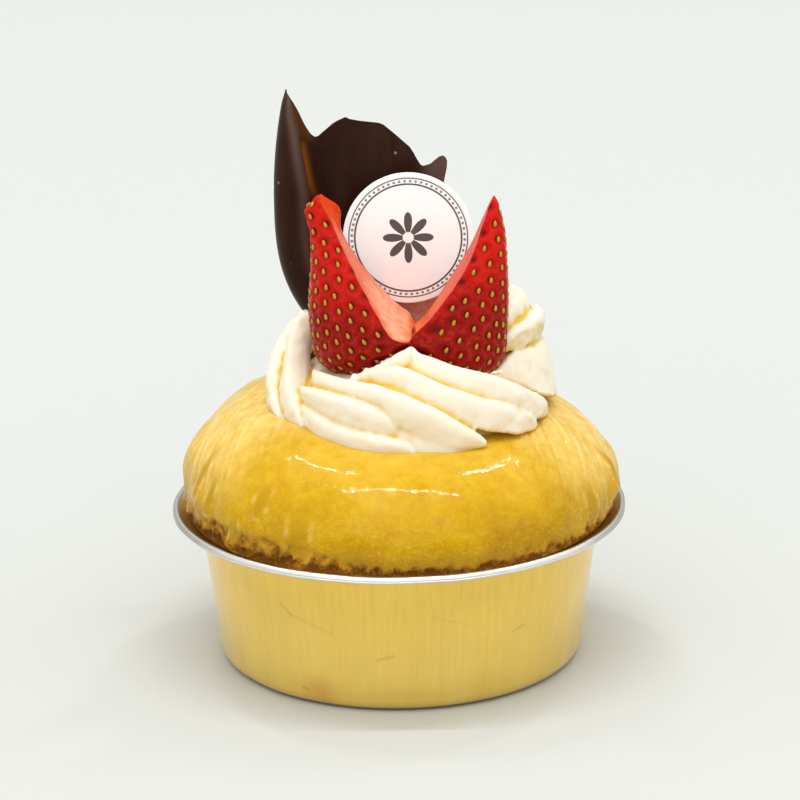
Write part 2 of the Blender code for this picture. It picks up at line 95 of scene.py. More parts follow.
class CreamSettings(bpy.types.PropertyGroup):
    voxel: size_of(0.38, "Grain", "Size of the grid that fuses the ridges")
    cream: tint("F4EAD6", "Cream", "Whipped cream in the light")
    # Painted shade of the cream, in its hollows and on its undersides
    painted_shade: tint("E2BA3E", "Hollows", "Cream deep between the ridges")


class BerrySettings(bpy.types.PropertyGroup):
    seed_length: size_of(1.32, "Seed length", "Length of a seed")
    seed_width: size_of(0.76, "Seed width", "Width of a seed")
    dimple: size_of(0.58, "Dimple depth", "How deep a seed sits")
    skin: tint("E21404", "Skin", "Ripe skin")
    skin_dark: tint("860702", "Dark skin", "Skin in the dimples")
    flesh: tint("D83C08", "Flesh", "Cut flesh near the skin")
    core: tint("E2642A", "Core", "Pale middle of the cut")
    seed: tint("BE8C12", "Seed", "Golden seeds")


class ShardSettings(bpy.types.PropertyGroup):
    thickness: size_of(0.75, "Thickness", "Thickness of the chocolate sheet")
    bend_radius: size_of(4.2, "Bend radius", "Radius of the curl")
    chocolate: tint("2B1409", "Chocolate", "Tempered dark chocolate")
    bloom: tint("3F251A", "Bloom", "Greyer brown where the surface has dulled")


class PlaqueSettings(bpy.types.PropertyGroup):
    radius: size_of(12.6, "Radius", "Radius of the plaque")
    thickness: size_of(0.9, "Thickness", "Thickness of the plaque")
    sugar: tint("F8F5F2", "Sugar", "White sugar paste")
    ink: tint("4A3E3C", "Ink", "Edible ink")


class StageSettings(bpy.types.PropertyGroup):
    floor: tint("CACCC8", "Floor", "Pale studio floor")


def add_node(tree, kind, links=None, **settings):
    """Add a node with its settings; links maps its inputs to values or to other nodes' outputs."""
    made = tree.nodes.new(kind)
    for name, value in settings.items():
        setattr(made, name, value)
    for socket, value in (links or {}).items():
        if isinstance(value, bpy.types.NodeSocket):
            tree.links.new(value, made.inputs[socket])
        else:
            made.inputs[socket].default_value = value
    return made


def surface(name, **constants):
    """A new material; returns it with its tree, its Principled shader and the object coordinates."""
    made = bpy.data.materials.new(name)
    made.use_nodes = True
    tree = made.node_tree
    shader = tree.nodes["Principled BSDF"]
    for socket, value in constants.items():
        shader.inputs[socket.replace("_", " ")].default_value = value
    coords = add_node(tree, "ShaderNodeTexCoord").outputs["Object"]
    return made, tree, shader, coords


def per_metre(millimetres):
    """Pattern scale for a feature of a real size."""
    return 1000.0 / millimetres


def full(tone):
    return (*tone, 1.0)


def piece_from(name, shape, finishes, slot, *stands_for, sharp=None):
    """Turn a bmesh into a finished piece that rides on the part."""
    mesh = bpy.data.meshes.new(name)
    shape.to_mesh(mesh)
    shape.free()
    for finish in finishes:
        mesh.materials.append(finish)
    mesh.shade_smooth()
    if sharp:
        mesh.set_sharp_from_angle(angle=math.radians(sharp))
    piece = bpy.data.objects.new(name, mesh)
    bpy.context.scene.collection.objects.link(piece)
    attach(piece, "root")
    if stands_for:
        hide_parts(*stands_for)
    return piece


def store(shape, name, values):
    """Keep one number for each vertex, for a material to read."""
    layer = shape.verts.layers.float.new(name)
    for vert, value in zip(shape.verts, values):
        vert[layer] = value


def baked(piece):
    """Apply a piece's modifiers."""
    depsgraph = bpy.context.evaluated_depsgraph_get()
    mesh = bpy.data.meshes.new_from_object(piece.evaluated_get(depsgraph))
    piece.modifiers.clear()
    old = piece.data
    piece.data = mesh
    bpy.data.meshes.remove(old)


def arc(centre, radius, start, end, steps):
    """Points of an arc in the profile plane, angles in degrees."""
    turns = [math.radians(start + (end - start) * step / steps) for step in range(steps + 1)]
    return [(centre[0] + radius * math.cos(turn), centre[1] + radius * math.sin(turn)) for turn in turns]


def spaced(points, step):
    """Fill a profile so that its points are no further apart than step."""
    filled = [points[0]]
    for start, end in zip(points, points[1:]):
        count = max(1, math.ceil(math.dist(start, end) / step))
        for index in range(1, count + 1):
            share = index / count
            filled.append(tuple(low + (high - low) * share for low, high in zip(start, end)))
    return filled


def lathe(profile, segments):
    """Spin a profile that starts and ends on the axis into a closed shape."""
    shape = bmesh.new()
    points = [shape.verts.new((radius, 0.0, height)) for radius, height in profile]
    edges = [shape.edges.new(pair) for pair in zip(points, points[1:])]
    bmesh.ops.spin(shape, geom=points + edges, axis=(0, 0, 1), cent=(0, 0, 0),
                   angle=math.tau, steps=segments, use_merge=True)
    bmesh.ops.remove_doubles(shape, verts=shape.verts, dist=0.00001)
    bmesh.ops.recalc_face_normals(shape, faces=shape.faces)
    return shape


def between(rows, share):
    """Smooth values along rows of control values, share from 0 to 1."""
    place = min(max(share, 0.0), 1.0) * (len(rows) - 1)
    index = min(int(place), len(rows) - 2)
    t = place - index
    near = [rows[min(max(index + step, 0), len(rows) - 1)] for step in (-1, 0, 1, 2)]
    return [0.5 * (2 * b + (c - a) * t + (2 * a - 5 * b + 4 * c - d) * t * t
                   + (3 * b - a - 3 * c + d) * t ** 3) for a, b, c, d in zip(*near)]


def from_table(table, place):
    """Value at a place between the rows of a table of (place, value) pairs."""
    if place <= table[0][0]:
        return table[0][1]
    for (start, low), (end, high) in zip(table, table[1:]):
        if place <= end:
            return low + (high - low) * (place - start) / (end - start)
    return table[-1][1]


def smoothstep(low, high, value):
    share = min(max((value - low) / (high - low), 0.0), 1.0)
    return share * share * (3 - 2 * share)


def ripple(place, millimetres, seed=0.0):
    """Smooth noise between about -1 and 1 with lumps of a given size."""
    return noise.noise(place / (millimetres * MM) + Vector((seed, 0.37 * seed, -seed)))


# Foil cup

CUP_SEGMENTS = 240
FLANGE_DROP = 0.35 * MM
NECK = 0.9 * MM
BEAD_GROOVE = (0.2 * MM, 0.02 * MM)
WALL_DENTS = 0.13 * MM
FLANGE_DENTS = 0.07 * MM
SYRUP_STAIN = (-15.6 * MM, -32.2 * MM, 3.2 * MM)
# Faint scratches: start and end (mm round the wall from the front, mm up), depth of tone
SCRATCHES = (
    ((-23.6, 20.6), (-21.4, 18.6), 0.45), ((-21.6, 18.8), (-13.0, 16.0), 0.22),
    ((-4.6, 11.2), (-1.4, 12.0), 0.4), ((22.5, 14.4), (24.8, 15.0), 0.4),
    ((-20.4, 3.6), (-19.2, 3.3), 0.5), ((6.0, 20.0), (13.0, 17.5), 0.12), ((-12.5, 27.4), (-8.0, 26.8), 0.25),
)


def gold_lacquer(sizes):
    """Gold-lacquered aluminium foil, drawn into a cup: satin, with fine upright draw marks."""
    made, tree, shader, coords = surface("gold_lacquered_foil", Metallic=1.0, Roughness=0.34,
                                         Coat_Weight=0.8, Coat_Roughness=0.2)
    apart = add_node(tree, "ShaderNodeSeparateXYZ", {0: coords})
    fore = add_node(tree, "ShaderNodeMath", {0: apart.outputs[1], 1: -1.0}, operation="MULTIPLY")
    turn = add_node(tree, "ShaderNodeMath", {0: apart.outputs[0], 1: fore.outputs[0]}, operation="ARCTAN2")
    round_wall = add_node(tree, "ShaderNodeMath", {0: turn.outputs[0], 1: 37.0 * MM}, operation="MULTIPLY")
    drawn = add_node(tree, "ShaderNodeCombineXYZ", {0: round_wall.outputs[0]})
    along = add_node(tree, "ShaderNodeMath", {0: apart.outputs[2], 1: 0.06}, operation="MULTIPLY")
    tree.links.new(along.outputs[0], drawn.inputs[2])
    marks = add_node(tree, "ShaderNodeTexNoise", {"Vector": drawn.outputs[0], "Scale": per_metre(0.9),
                                                  "Detail": 4.0, "Roughness": 0.75})
    cloud = add_node(tree, "ShaderNodeTexNoise", {"Vector": coords, "Scale": per_metre(14.0), "Detail": 3.0})
    both = add_node(tree, "ShaderNodeMath", {0: marks.outputs[0], 1: cloud.outputs[0]}, operation="ADD")
    dull = add_node(tree, "ShaderNodeMapRange", {0: both.outputs[0], 1: 0.7, 2: 1.3, 3: 0.0, 4: 1.0})
    tone = add_node(tree, "ShaderNodeMix", {0: dull.outputs[0], 6: full(sizes.lacquer),
                                            7: full([0.86 * part for part in sizes.lacquer])}, data_type="RGBA")
    # Painted reflection: the lower wall is painted brighter, in soft upright bands, for the pale surroundings it
    # reflects.
    bands = add_node(tree, "ShaderNodeTexNoise",
                     {"Vector": drawn.outputs[0], "Scale": per_metre(7.0), "Detail": 2.0})
    low = add_node(tree, "ShaderNodeMapRange",
                   {0: apart.outputs[2], 1: 3.0 * MM, 2: 22.0 * MM, 3: 1.1, 4: 0.0})
    reflection_share = add_node(tree, "ShaderNodeMath", {0: low.outputs[0], 1: bands.outputs[0]}, operation="MULTIPLY")
    painted_reflection = add_node(tree, "ShaderNodeMix",
                      {0: reflection_share.outputs[0], 6: tone.outputs[2], 7: full(colour("FFE27A"))},
                      data_type="RGBA")
    wall = add_node(tree, "ShaderNodeCombineXYZ", {0: round_wall.outputs[0], 1: apart.outputs[2]}).outputs[0]
    scored = painted_reflection
    for first, last, depth in SCRATCHES:
        first, run = Vector((*first, 0.0)) * MM, (Vector((*last, 0.0)) - Vector((*first, 0.0))) * MM
        beside = add_node(tree, "ShaderNodeVectorMath", {0: wall, 1: first}, operation="SUBTRACT").outputs[0]
        along = add_node(tree, "ShaderNodeVectorMath", {0: beside, 1: run / run.length_squared},
                         operation="DOT_PRODUCT")
        share = add_node(tree, "ShaderNodeClamp", {0: along.outputs["Value"]})
        nearest = add_node(tree, "ShaderNodeVectorMath", {0: run, "Scale": share.outputs[0]},
                           operation="SCALE")
        off = add_node(tree, "ShaderNodeVectorMath", {0: beside, 1: nearest.outputs[0]}, operation="DISTANCE")
        line = add_node(tree, "ShaderNodeMapRange",
                        {0: off.outputs["Value"], 1: 0.0, 2: 0.5 * MM, 3: 0.6 * depth, 4: 0.0})
        scored = add_node(tree, "ShaderNodeMix",
                          {0: line.outputs[0], 6: scored.outputs[2], 7: full(colour("8A6E30"))},
                          data_type="RGBA")
    away = add_node(tree, "ShaderNodeVectorMath", {0: coords, 1: SYRUP_STAIN}, operation="DISTANCE")
    stain = add_node(tree, "ShaderNodeMapRange",
                     {0: away.outputs["Value"], 1: 0.6 * MM, 2: 4.5 * MM, 3: 0.4, 4: 0.0})
    stained = add_node(tree, "ShaderNodeMix",
                       {0: stain.outputs[0], 6: scored.outputs[2], 7: full(colour("D2842A"))},
                       data_type="RGBA")
    # Painted shade: a dark line at the foot, where the corner turns under, away from the light.
    foot = add_node(tree, "ShaderNodeMapRange",
                    {0: apart.outputs[2], 1: 0.3 * MM, 2: 1.1 * MM, 3: 0.65, 4: 0.0})
    foot_shaded = add_node(tree, "ShaderNodeMix",
                      {0: foot.outputs[0], 6: stained.outputs[2], 7: full(colour("7A5A1C"))},
                      data_type="RGBA")
    tree.links.new(foot_shaded.outputs[2], shader.inputs["Base Color"])
    rough = add_node(tree, "ShaderNodeMapRange", {0: marks.outputs[0], 1: 0.3, 2: 0.7, 3: 0.28, 4: 0.42})
    tree.links.new(rough.outputs[0], shader.inputs["Roughness"])
    bump = add_node(tree, "ShaderNodeBump",
                    {"Strength": 0.12, "Distance": 0.0002, "Height": marks.outputs[0]})
    tree.links.new(bump.outputs[0], shader.inputs["Normal"])
    return made


def bare_foil(sizes):
    """Bare aluminium at the rolled edge: bright, almost white, a little scuffed."""
    made, tree, shader, coords = surface("bare_aluminium_edge", Metallic=1.0, Roughness=0.38)
    scuff = add_node(tree, "ShaderNodeTexNoise", {"Vector": coords, "Scale": per_metre(2.5), "Detail": 4.0})
    tone = add_node(tree, "ShaderNodeMix", {0: scuff.outputs[0], 6: full(sizes.bare),
                                            7: full([0.86 * part for part in sizes.bare])}, data_type="RGBA")
    tree.links.new(tone.outputs[2], shader.inputs["Base Color"])
    return made


class BABA_OT_make_cup(bpy.types.Operator):
    """Make the pressed foil cup with its rolled rim"""
    bl_idname = "baba.make_cup"
    bl_label = "Make foil cup"

    def execute(self, context):
        sizes = context.scene.baba_cup
        bead = (sizes.rim_radius - sizes.bead_radius, sizes.rim_height - sizes.bead_radius)
        base = sizes.wall_base - sizes.corner
        flange_top = sizes.rim_height - FLANGE_DROP
        flange_bottom = flange_top - sizes.foil
        neck = sizes.wall_top + NECK
        profile = [(0.0, 0.0)] + arc((base, sizes.corner), sizes.corner, -90, -8, 12)
        profile += arc((neck, flange_bottom - NECK), NECK, 180, 90, 5)
        profile += arc(bead, sizes.bead_radius, 185, 350, 9)
        profile += [(sizes.rim_radius - BEAD_GROOVE[0], bead[1] + BEAD_GROOVE[1])]
        profile += arc(bead, sizes.bead_radius, 375, 500, 8)
        profile += arc((neck, flange_top - NECK - sizes.foil), NECK + sizes.foil, 90, 180, 5)
        profile += arc((base, sizes.corner), sizes.corner - sizes.foil, -8, -90, 10) + [(0.0, sizes.foil)]
        shape = lathe(spaced(profile, 3.0 * MM), CUP_SEGMENTS)
        for vert in shape.verts:
            place = vert.co.copy()
            reach = math.hypot(place.x, place.y)
            if reach > base and place.z > 0.5 * MM:
                vert.co += Vector((place.x, place.y, 0.0)) / reach * ripple(place, 11.0) * WALL_DENTS
            if reach > neck:
                vert.co.z += ripple(place, 5.0, 3.0) * FLANGE_DENTS
        for face in shape.faces:
            middle = face.calc_center_median()
            if math.hypot(middle.x, middle.y) > bead[0] - sizes.bead_radius:
                face.material_index = 1
        piece_from("pressed_foil_cup", shape, [gold_lacquer(sizes), bare_foil(sizes)], "gold_foil",
                   "foil_cup", sharp=50.0)
        return {"FINISHED"}


# Baba cake

CAKE_SEGMENTS = 560
UNDERSIDE_STEPS = 8
DOME_STEPS = 48
# How square the dome's section is: 2 is an ellipse
DOME_SQUARENESS = 2.04
DOME_POWER = 2.0 / DOME_SQUARENESS
CAKE_TILT = Vector((-0.03, 0.05))
# Waves of the bun's outline: how many round it, height (mm), phase
CAKE_LOBES = ((2, 0.35, 0.6), (3, 0.40, 2.1), (5, 0.35, 0.3), (8, 0.22, 1.4), (13, 0.14, 4.0))
# Glaze drips: place round the cake, half width, height of the drip's foot, length (degrees, mm)
DRIPS = (
    (-40, 1.7, 39.8, 5), (-48, 1.5, 32.6, 6), (-27, 2.5, 33.4, 9), (-70, 1.6, 37.0, 10), (-61, 1.5, 36.0, 8),
    (62, 2.0, 34.0, 9), (80, 1.7, 36.0, 10), (104, 2.0, 35.0, 8), (135, 2.4, 33.5, 7), (168, 2.0, 36.0, 8),
    (205, 2.6, 34.0, 7), (238, 2.0, 35.0, 9),
)
DRIP_EDGE = 0.5
# Lumps where crust bulges at the sides: place, height, spread round, spread up, reach (degrees, mm)
LUMPS = (
    (-86, 41.0, 13, 4.5, 1.2), (-70, 36.0, 7, 2.5, 0.5), (85, 38.6, 9, 3.2, 0.9), (79, 35.0, 6, 1.6, 0.7),
    (150, 39.0, 12, 4.0, 0.8), (-140, 38.0, 10, 4.0, 0.9),
)
LUMP_CUTOFF = 2.5
# How far the lower edge is drawn out at the sides, and further at the front and the back (mm)
EDGE_DRAW = (0.5, 3.1, 2.2)
EDGE_DROP = 0.5 * MM
EDGE_RADII = (37.9 * MM, 39.3 * MM)
# Heights between which each feature of the crust comes or goes
TORN_BAND = (31.0 * MM, 33.4 * MM)
FOOT_SHADE_BAND = (30.6 * MM, 31.8 * MM)
SIDE_SHEEN_BAND = (34.0 * MM, 44.0 * MM)
EDGE_TOP_BAND = (32.6 * MM, 33.0 * MM)
EDGE_FOOT_BAND = (30.0 * MM, 30.6 * MM)
EDGE_DROP_BAND = (30.5 * MM, 30.6 * MM)
# Turn from the front at which the sides' wrinkles begin and are full (degrees)
SIDE_BAND = (25.0, 65.0)
STREAK_WIDTH = 1.3 * MM
STREAK_LENGTH = 7.0 * MM


def cake_outline(cake, cup):
    """Outline of the plug that fills the cup and of the bun that swells over its flange."""
    plug_base = cup.wall_base - cup.foil - 2 * GAP
    plug_top = cup.wall_top - cup.foil - 2 * GAP
    floor = cup.foil + GAP
    ledge = cup.rim_height + GAP
    plug = [(0.0, floor), (plug_base - cup.corner, floor),
            (plug_base - 0.25 * cup.corner, floor + 0.5 * cup.corner),
            (plug_base + 0.2 * MM, floor + cup.corner + 0.5 * MM),
            (plug_top - 0.25 * MM, cup.rim_height - 2.4 * MM)]
    turn = cake.shoulder_radius - cake.underside_radius
    drop = cake.shoulder_height - ledge
    bun = [(plug_top, ledge), (cake.underside_radius, ledge)]
    for step in range(1, UNDERSIDE_STEPS + 1):
        angle = math.radians(90 * step / UNDERSIDE_STEPS)
        bun.append((cake.underside_radius + turn * math.sin(angle),
                    cake.shoulder_height - drop * math.cos(angle)))
    for step in range(1, DOME_STEPS + 1):
        angle = math.radians(90 * step / DOME_STEPS)
        reach = (cake.shoulder_radius - cake.crown_radius) * math.cos(angle) ** DOME_POWER
        bun.append((cake.crown_radius + reach,
                    cake.shoulder_height + cake.crown_rise * math.sin(angle) ** DOME_POWER))
    crown = [(share * cake.crown_radius, cake.shoulder_height + cake.crown_rise) for share in (0.8, 0.4, 0.0)]
    return spaced(plug, 4.0 * MM) + spaced(bun, 0.42 * MM) + crown


def turned(angle, at):
    """Degrees from one place round the cake to another, the short way."""
    return (angle - at + 180) % 360 - 180


def lump_reach(angle, height):
    """How far the lumps push the crust out at a place."""
    reach = 0.0
    for at, lift, around, tall, out in LUMPS:
        turn = turned(angle, at) / around
        if abs(turn) < LUMP_CUTOFF:
            reach += out * math.exp(-turn ** 2 - ((height / MM - lift) / tall) ** 2)
    return reach * MM


def drip_shape(angle, height, radius):
    """The rim and the inside of the glaze's drips at a place, each from 0 to 1."""
    ridge, pool = 0.0, 0.0
    for at, half_width, foot, length in DRIPS:
        across = math.radians(turned(angle, at)) * radius / MM
        if abs(across) > half_width + 4 * DRIP_EDGE:
            continue
        up = height / MM - foot
        reach = math.hypot(across, min(up, 0.0))
        fade = 1.0 - smoothstep(0.35 * length, length, up)
        ridge = max(ridge, fade * math.exp(-((reach - half_width) / DRIP_EDGE) ** 2))
        pool = max(pool, fade * (1.0 - smoothstep(0.4 * half_width, half_width, reach)))
    return ridge, pool


class BABA_OT_make_cake(bpy.types.Operator):
    """Make the soaked bun with its glaze, wrinkles and torn lower edge"""
    bl_idname = "baba.make_cake"
    bl_label = "Make baba"

    def execute(self, context):
        cake = context.scene.baba_cake
        shape = lathe(cake_outline(cake, context.scene.baba_cup), CAKE_SEGMENTS)
        marks = {"torn_and_shaded": [], "thin": [], "dripped": []}
        for vert in shape.verts:
            self.bake(vert, cake, context.scene.baba_cup, marks)
        for name, values in marks.items():
            store(shape, name, values)
        piece_from("glazed_baba", shape, [soaked_crust(cake)], "soaked_cake", "baba_cake")
        return {"FINISHED"}

    def bake(self, vert, cake, cup, marks):
        """Move one point of the smooth bun out to its crust, and mark how the crust looks there."""
        place = vert.co.copy()
        above = (place.z - cup.rim_height - GAP) / (cake.shoulder_height - cup.rim_height)
        above = min(max(above, 0.0), 1.0)
        rise = min(max(place.z - cake.shoulder_height, 0.0) / cake.crown_rise, 1.0)
        angle = math.atan2(place.x, -place.y)
        degrees = math.degrees(angle)
        radius = math.hypot(place.x, place.y)
        lobes = sum(size * math.sin(count * angle + phase) for count, size, phase in CAKE_LOBES) * MM
        side = smoothstep(*SIDE_BAND, abs(degrees))
        bump = ripple(place, 5.0) * (0.06 + 0.24 * side) * MM
        # The torn edge reaches highest at the front left
        thick = 0.15 + 2.85 * math.exp(-((angle + 0.78) / 0.5) ** 2)
        ragged = (1.5 * ripple(place, 5.0, 5.0) + 0.9 * ripple(place, 2.2, 1.0) - thick) * MM
        low = 1.0 - smoothstep(*TORN_BAND, place.z + ragged)
        streak = noise.noise(Vector((angle * radius / STREAK_WIDTH, place.z / STREAK_LENGTH, 0.0)))
        ridge, pool = drip_shape(degrees, place.z, radius)
        ridge *= smoothstep(-0.45, 0.3, ripple(place, 1.8, 13.0))
        detail = (side * streak * 0.22 + 0.12 * ridge + 0.13 * pool) * MM
        crags = ripple(place, 3.4, 9.0) * 0.5 + ripple(place, 1.4, 4.0) * 0.55
        detail = detail * (1.0 - 0.7 * low) + (crags - 0.2) * low * MM
        marks["dripped"].append(0.5 + 0.5 * ridge - 0.5 * pool * (1.0 - ridge))
        # The torn crumb's own brown, more in the crags' hollows, with painted shade added in a band at the foot over
        # the flange.
        base = 1.0 - smoothstep(*FOOT_SHADE_BAND, place.z + 0.3 * ragged)
        marks["torn_and_shaded"].append(low * (1.0 - 0.8 * max(ridge, pool)) * (0.5 - 0.6 * crags) + 0.5 * base)
        # Painted sheen: the glaze is paled at the left and right sides, for the light they reflect.
        side_sheen = smoothstep(0.7, 1.0, abs(math.sin(angle))) * smoothstep(*SIDE_SHEEN_BAND, place.z)
        marks["thin"].append(side_sheen * (0.75 + 0.5 * streak))
        if radius > 0.0:
            out = Vector((place.x, place.y, 0.0)) / radius
            short = (cake.shoulder_radius - radius) / (cake.shoulder_radius - cake.underside_radius)
            under = smoothstep(*EDGE_RADII, radius) * min(max(short, 0.0), 1.0)
            under *= 1.0 - smoothstep(*EDGE_TOP_BAND, place.z)
            front, back = max(math.cos(angle), 0.0), max(-math.cos(angle), 0.0)
            sag = EDGE_DRAW[0] + EDGE_DRAW[1] * front ** 0.6 + EDGE_DRAW[2] * back ** 0.6
            vert.co += out * sag * MM * under * smoothstep(*EDGE_FOOT_BAND, place.z)
            drop = EDGE_DROP * under * (front + back) ** 0.5
            vert.co.z -= drop * smoothstep(*EDGE_DROP_BAND, place.z)
            reach = min(radius / cake.shoulder_radius, 1.0)
            vert.co += out * (lobes + bump + lump_reach(degrees, place.z)) * above * reach
            steep = Vector((out.x, out.y, 1.2 * rise)).normalized()
            vert.co += steep * detail * smoothstep(0.0, 0.25, above)
        vert.co.z += (CAKE_TILT.x * place.x + CAKE_TILT.y * place.y) * rise + bump * rise


def soaked_crust(cake):
    """Baked yeast dough soaked in syrup: deep golden and moist under a thin clear glaze, dry and torn below."""
    made, tree, shader, coords = surface("syrup_glazed_crumb", Roughness=0.42, Subsurface_Weight=0.2,
                                         Subsurface_Scale=0.0018, Coat_Roughness=0.03, Coat_IOR=1.33,
                                         Specular_IOR_Level=0.02)
    shader.inputs["Subsurface Radius"].default_value = (1.0, 0.55, 0.12)
    patches = add_node(tree, "ShaderNodeTexNoise",
                       {"Vector": coords, "Scale": per_metre(11.0), "Detail": 3.0})
    mottle = add_node(tree, "ShaderNodeTexNoise", {"Vector": coords, "Scale": per_metre(2.6), "Detail": 4.0,
                                                   "Roughness": 0.62})
    # The crumb's real pores are about 0.3 mm, drawn twice as coarse so that they show
    crumb = add_node(tree, "ShaderNodeTexNoise", {"Vector": coords, "Scale": per_metre(0.65), "Detail": 2.0})
    apart = add_node(tree, "ShaderNodeSeparateXYZ", {0: coords})
    # Lighter towards the top: painted light from above, laid over the glaze's own patches.
    height = add_node(tree, "ShaderNodeMapRange",
                      {0: apart.outputs[2], 1: 31.0 * MM, 2: 49.0 * MM, 3: 0.0, 4: 0.46})
    level = add_node(tree, "ShaderNodeMath", {0: patches.outputs[0], 1: 0.62, 2: height.outputs[0]},
                     operation="MULTIPLY_ADD")
    golden = add_node(tree, "ShaderNodeValToRGB", {0: level.outputs[0]})
    ramp = golden.color_ramp.elements
    ramp[0].position, ramp[0].color = 0.30, full(cake.deep)
    ramp[1].position, ramp[1].color = 0.84, full(cake.pale)
    middle = ramp.new(0.55)
    middle.color = full(cake.glaze)
    # Painted sheen: the sides are paled where they reflect the light.
    thin = add_node(tree, "ShaderNodeAttribute", attribute_name="thin")
    side_sheen = add_node(tree, "ShaderNodeMath", {0: thin.outputs["Fac"], 1: 0.75}, operation="MULTIPLY")
    paler = add_node(tree, "ShaderNodeMix",
                     {0: side_sheen.outputs[0], 6: golden.outputs[0], 7: full(colour("FADE94"))},
                     data_type="RGBA")
    shade = add_node(tree, "ShaderNodeValToRGB", {0: mottle.outputs[0]})
    shade.color_ramp.elements[0].position, shade.color_ramp.elements[0].color = 0.28, full(colour("F3E2AE"))
    shade.color_ramp.elements[1].position = 0.62
    mottled = add_node(tree, "ShaderNodeMix", {0: 1.0, 6: paler.outputs[2], 7: shade.outputs[0]},
                       data_type="RGBA", blend_type="MULTIPLY")
    low = add_node(tree, "ShaderNodeMapRange",
                   {0: apart.outputs[2], 1: 33.0 * MM, 2: 42.0 * MM, 3: 0.26, 4: 0.05})
    grains = add_node(tree, "ShaderNodeMapRange", {0: crumb.outputs[0], 1: 0.56, 2: 0.70, 3: 0.0, 4: 1.0})
    speckle = add_node(tree, "ShaderNodeMath", {0: grains.outputs[0], 1: low.outputs[0]},
                       operation="MULTIPLY")
    speckled = add_node(tree, "ShaderNodeMix",
                        {0: speckle.outputs[0], 6: mottled.outputs[2], 7: full(colour("F0C654"))},
                        data_type="RGBA")
    # Torn crumb's brown, darkest where painted shade is added at the foot.
    torn_and_shaded = add_node(tree, "ShaderNodeAttribute", attribute_name="torn_and_shaded").outputs["Fac"]
    grainy = add_node(tree, "ShaderNodeMath", {0: crumb.outputs[0], 1: 1.4, 2: -0.7},
                      operation="MULTIPLY_ADD")
    edge = add_node(tree, "ShaderNodeMath", {0: torn_and_shaded, 1: grainy.outputs[0]}, operation="ADD")
    brown = add_node(tree, "ShaderNodeMapRange", {0: torn_and_shaded, 1: 0.02, 2: 0.6, 3: 0.0, 4: 1.0})
    crumb_and_shade = add_node(tree, "ShaderNodeValToRGB", {0: edge.outputs[0]})
    crusts = crumb_and_shade.color_ramp.elements
    crusts[0].position, crusts[0].color = 0.1, full(colour("C6942C"))
    crusts[1].position, crusts[1].color = 1.0, full(colour("643A08"))
    middle = crusts.new(0.5)
    middle.color = full(cake.crumb)
    dripped = add_node(tree, "ShaderNodeAttribute", attribute_name="dripped").outputs["Fac"]
    pool = add_node(tree, "ShaderNodeMapRange", {0: dripped, 1: 0.5, 2: 0.0, 3: 0.0, 4: 0.85})
    pooled = add_node(tree, "ShaderNodeMix", {0: pool.outputs[0], 6: speckled.outputs[2], 7: full(cake.deep)},
                      data_type="RGBA")
    # Painted highlight along the raised rims of the drips.
    rim = add_node(tree, "ShaderNodeMapRange", {0: dripped, 1: 0.55, 2: 1.0, 3: 0.0, 4: 0.32})
    rim_highlighted = add_node(tree, "ShaderNodeMix",
                      {0: rim.outputs[0], 6: pooled.outputs[2], 7: full(colour("F6D68C"))},
                      data_type="RGBA")
    tone = add_node(tree, "ShaderNodeMix", {0: brown.outputs[0], 6: rim_highlighted.outputs[2], 7: crumb_and_shade.outputs[0]},
                    data_type="RGBA")
    tree.links.new(tone.outputs[2], shader.inputs["Base Color"])
    glazed = add_node(tree, "ShaderNodeMapRange", {0: torn_and_shaded, 1: 0.0, 2: 0.7, 3: 0.58, 4: 0.1})
    tree.links.new(glazed.outputs[0], shader.inputs["Coat Weight"])
    grain = add_node(tree, "ShaderNodeMath", {0: crumb.outputs[0], 1: mottle.outputs[0]}, operation="ADD")
    spongy = add_node(tree, "ShaderNodeMapRange",
                      {0: apart.outputs[2], 1: 32.0 * MM, 2: 42.0 * MM, 3: 1.0, 4: 0.4})
    bump = add_node(tree, "ShaderNodeBump",
                    {"Strength": spongy.outputs[0], "Distance": 0.0003, "Height": grain.outputs[0]})
    tree.links.new(bump.outputs[0], shader.inputs["Normal"])
    waves = add_node(tree, "ShaderNodeTexNoise", {"Vector": coords, "Scale": per_metre(2.6), "Detail": 3.0})
    film = add_node(tree, "ShaderNodeBump",
                    {"Strength": 1.0, "Distance": 0.00008, "Height": waves.outputs[0]})
    tree.links.new(film.outputs[0], shader.inputs["Coat Normal"])
    return made


# Cream rosette

CREAM_CENTRE = Vector((1.5, 1.0, 0.0)) * MM
CREAM_CORE = ((0.0, 47.0), (23.4, 47.0), (23.6, 50.6), (21.2, 55.0), (17.2, 58.4), (12.0, 59.6), (0.0, 60.0))
# Section of a ridge, outwards and upwards: a rounded crest over a broad face with a crisp lower edge
RIDGE_SECTION = (
    (1.0, 0.2), (1.02, 0.6), (0.84, 0.98), (0.42, 1.0), (0.0, 0.96), (-0.5, 0.78), (-0.9, 0.4), (-1.0, -0.1),
    (-0.85, -0.6), (-0.4, -0.82), (0.1, -0.86), (0.45, -0.95), (0.7, -1.0), (0.84, -0.55), (0.94, -0.1),
)
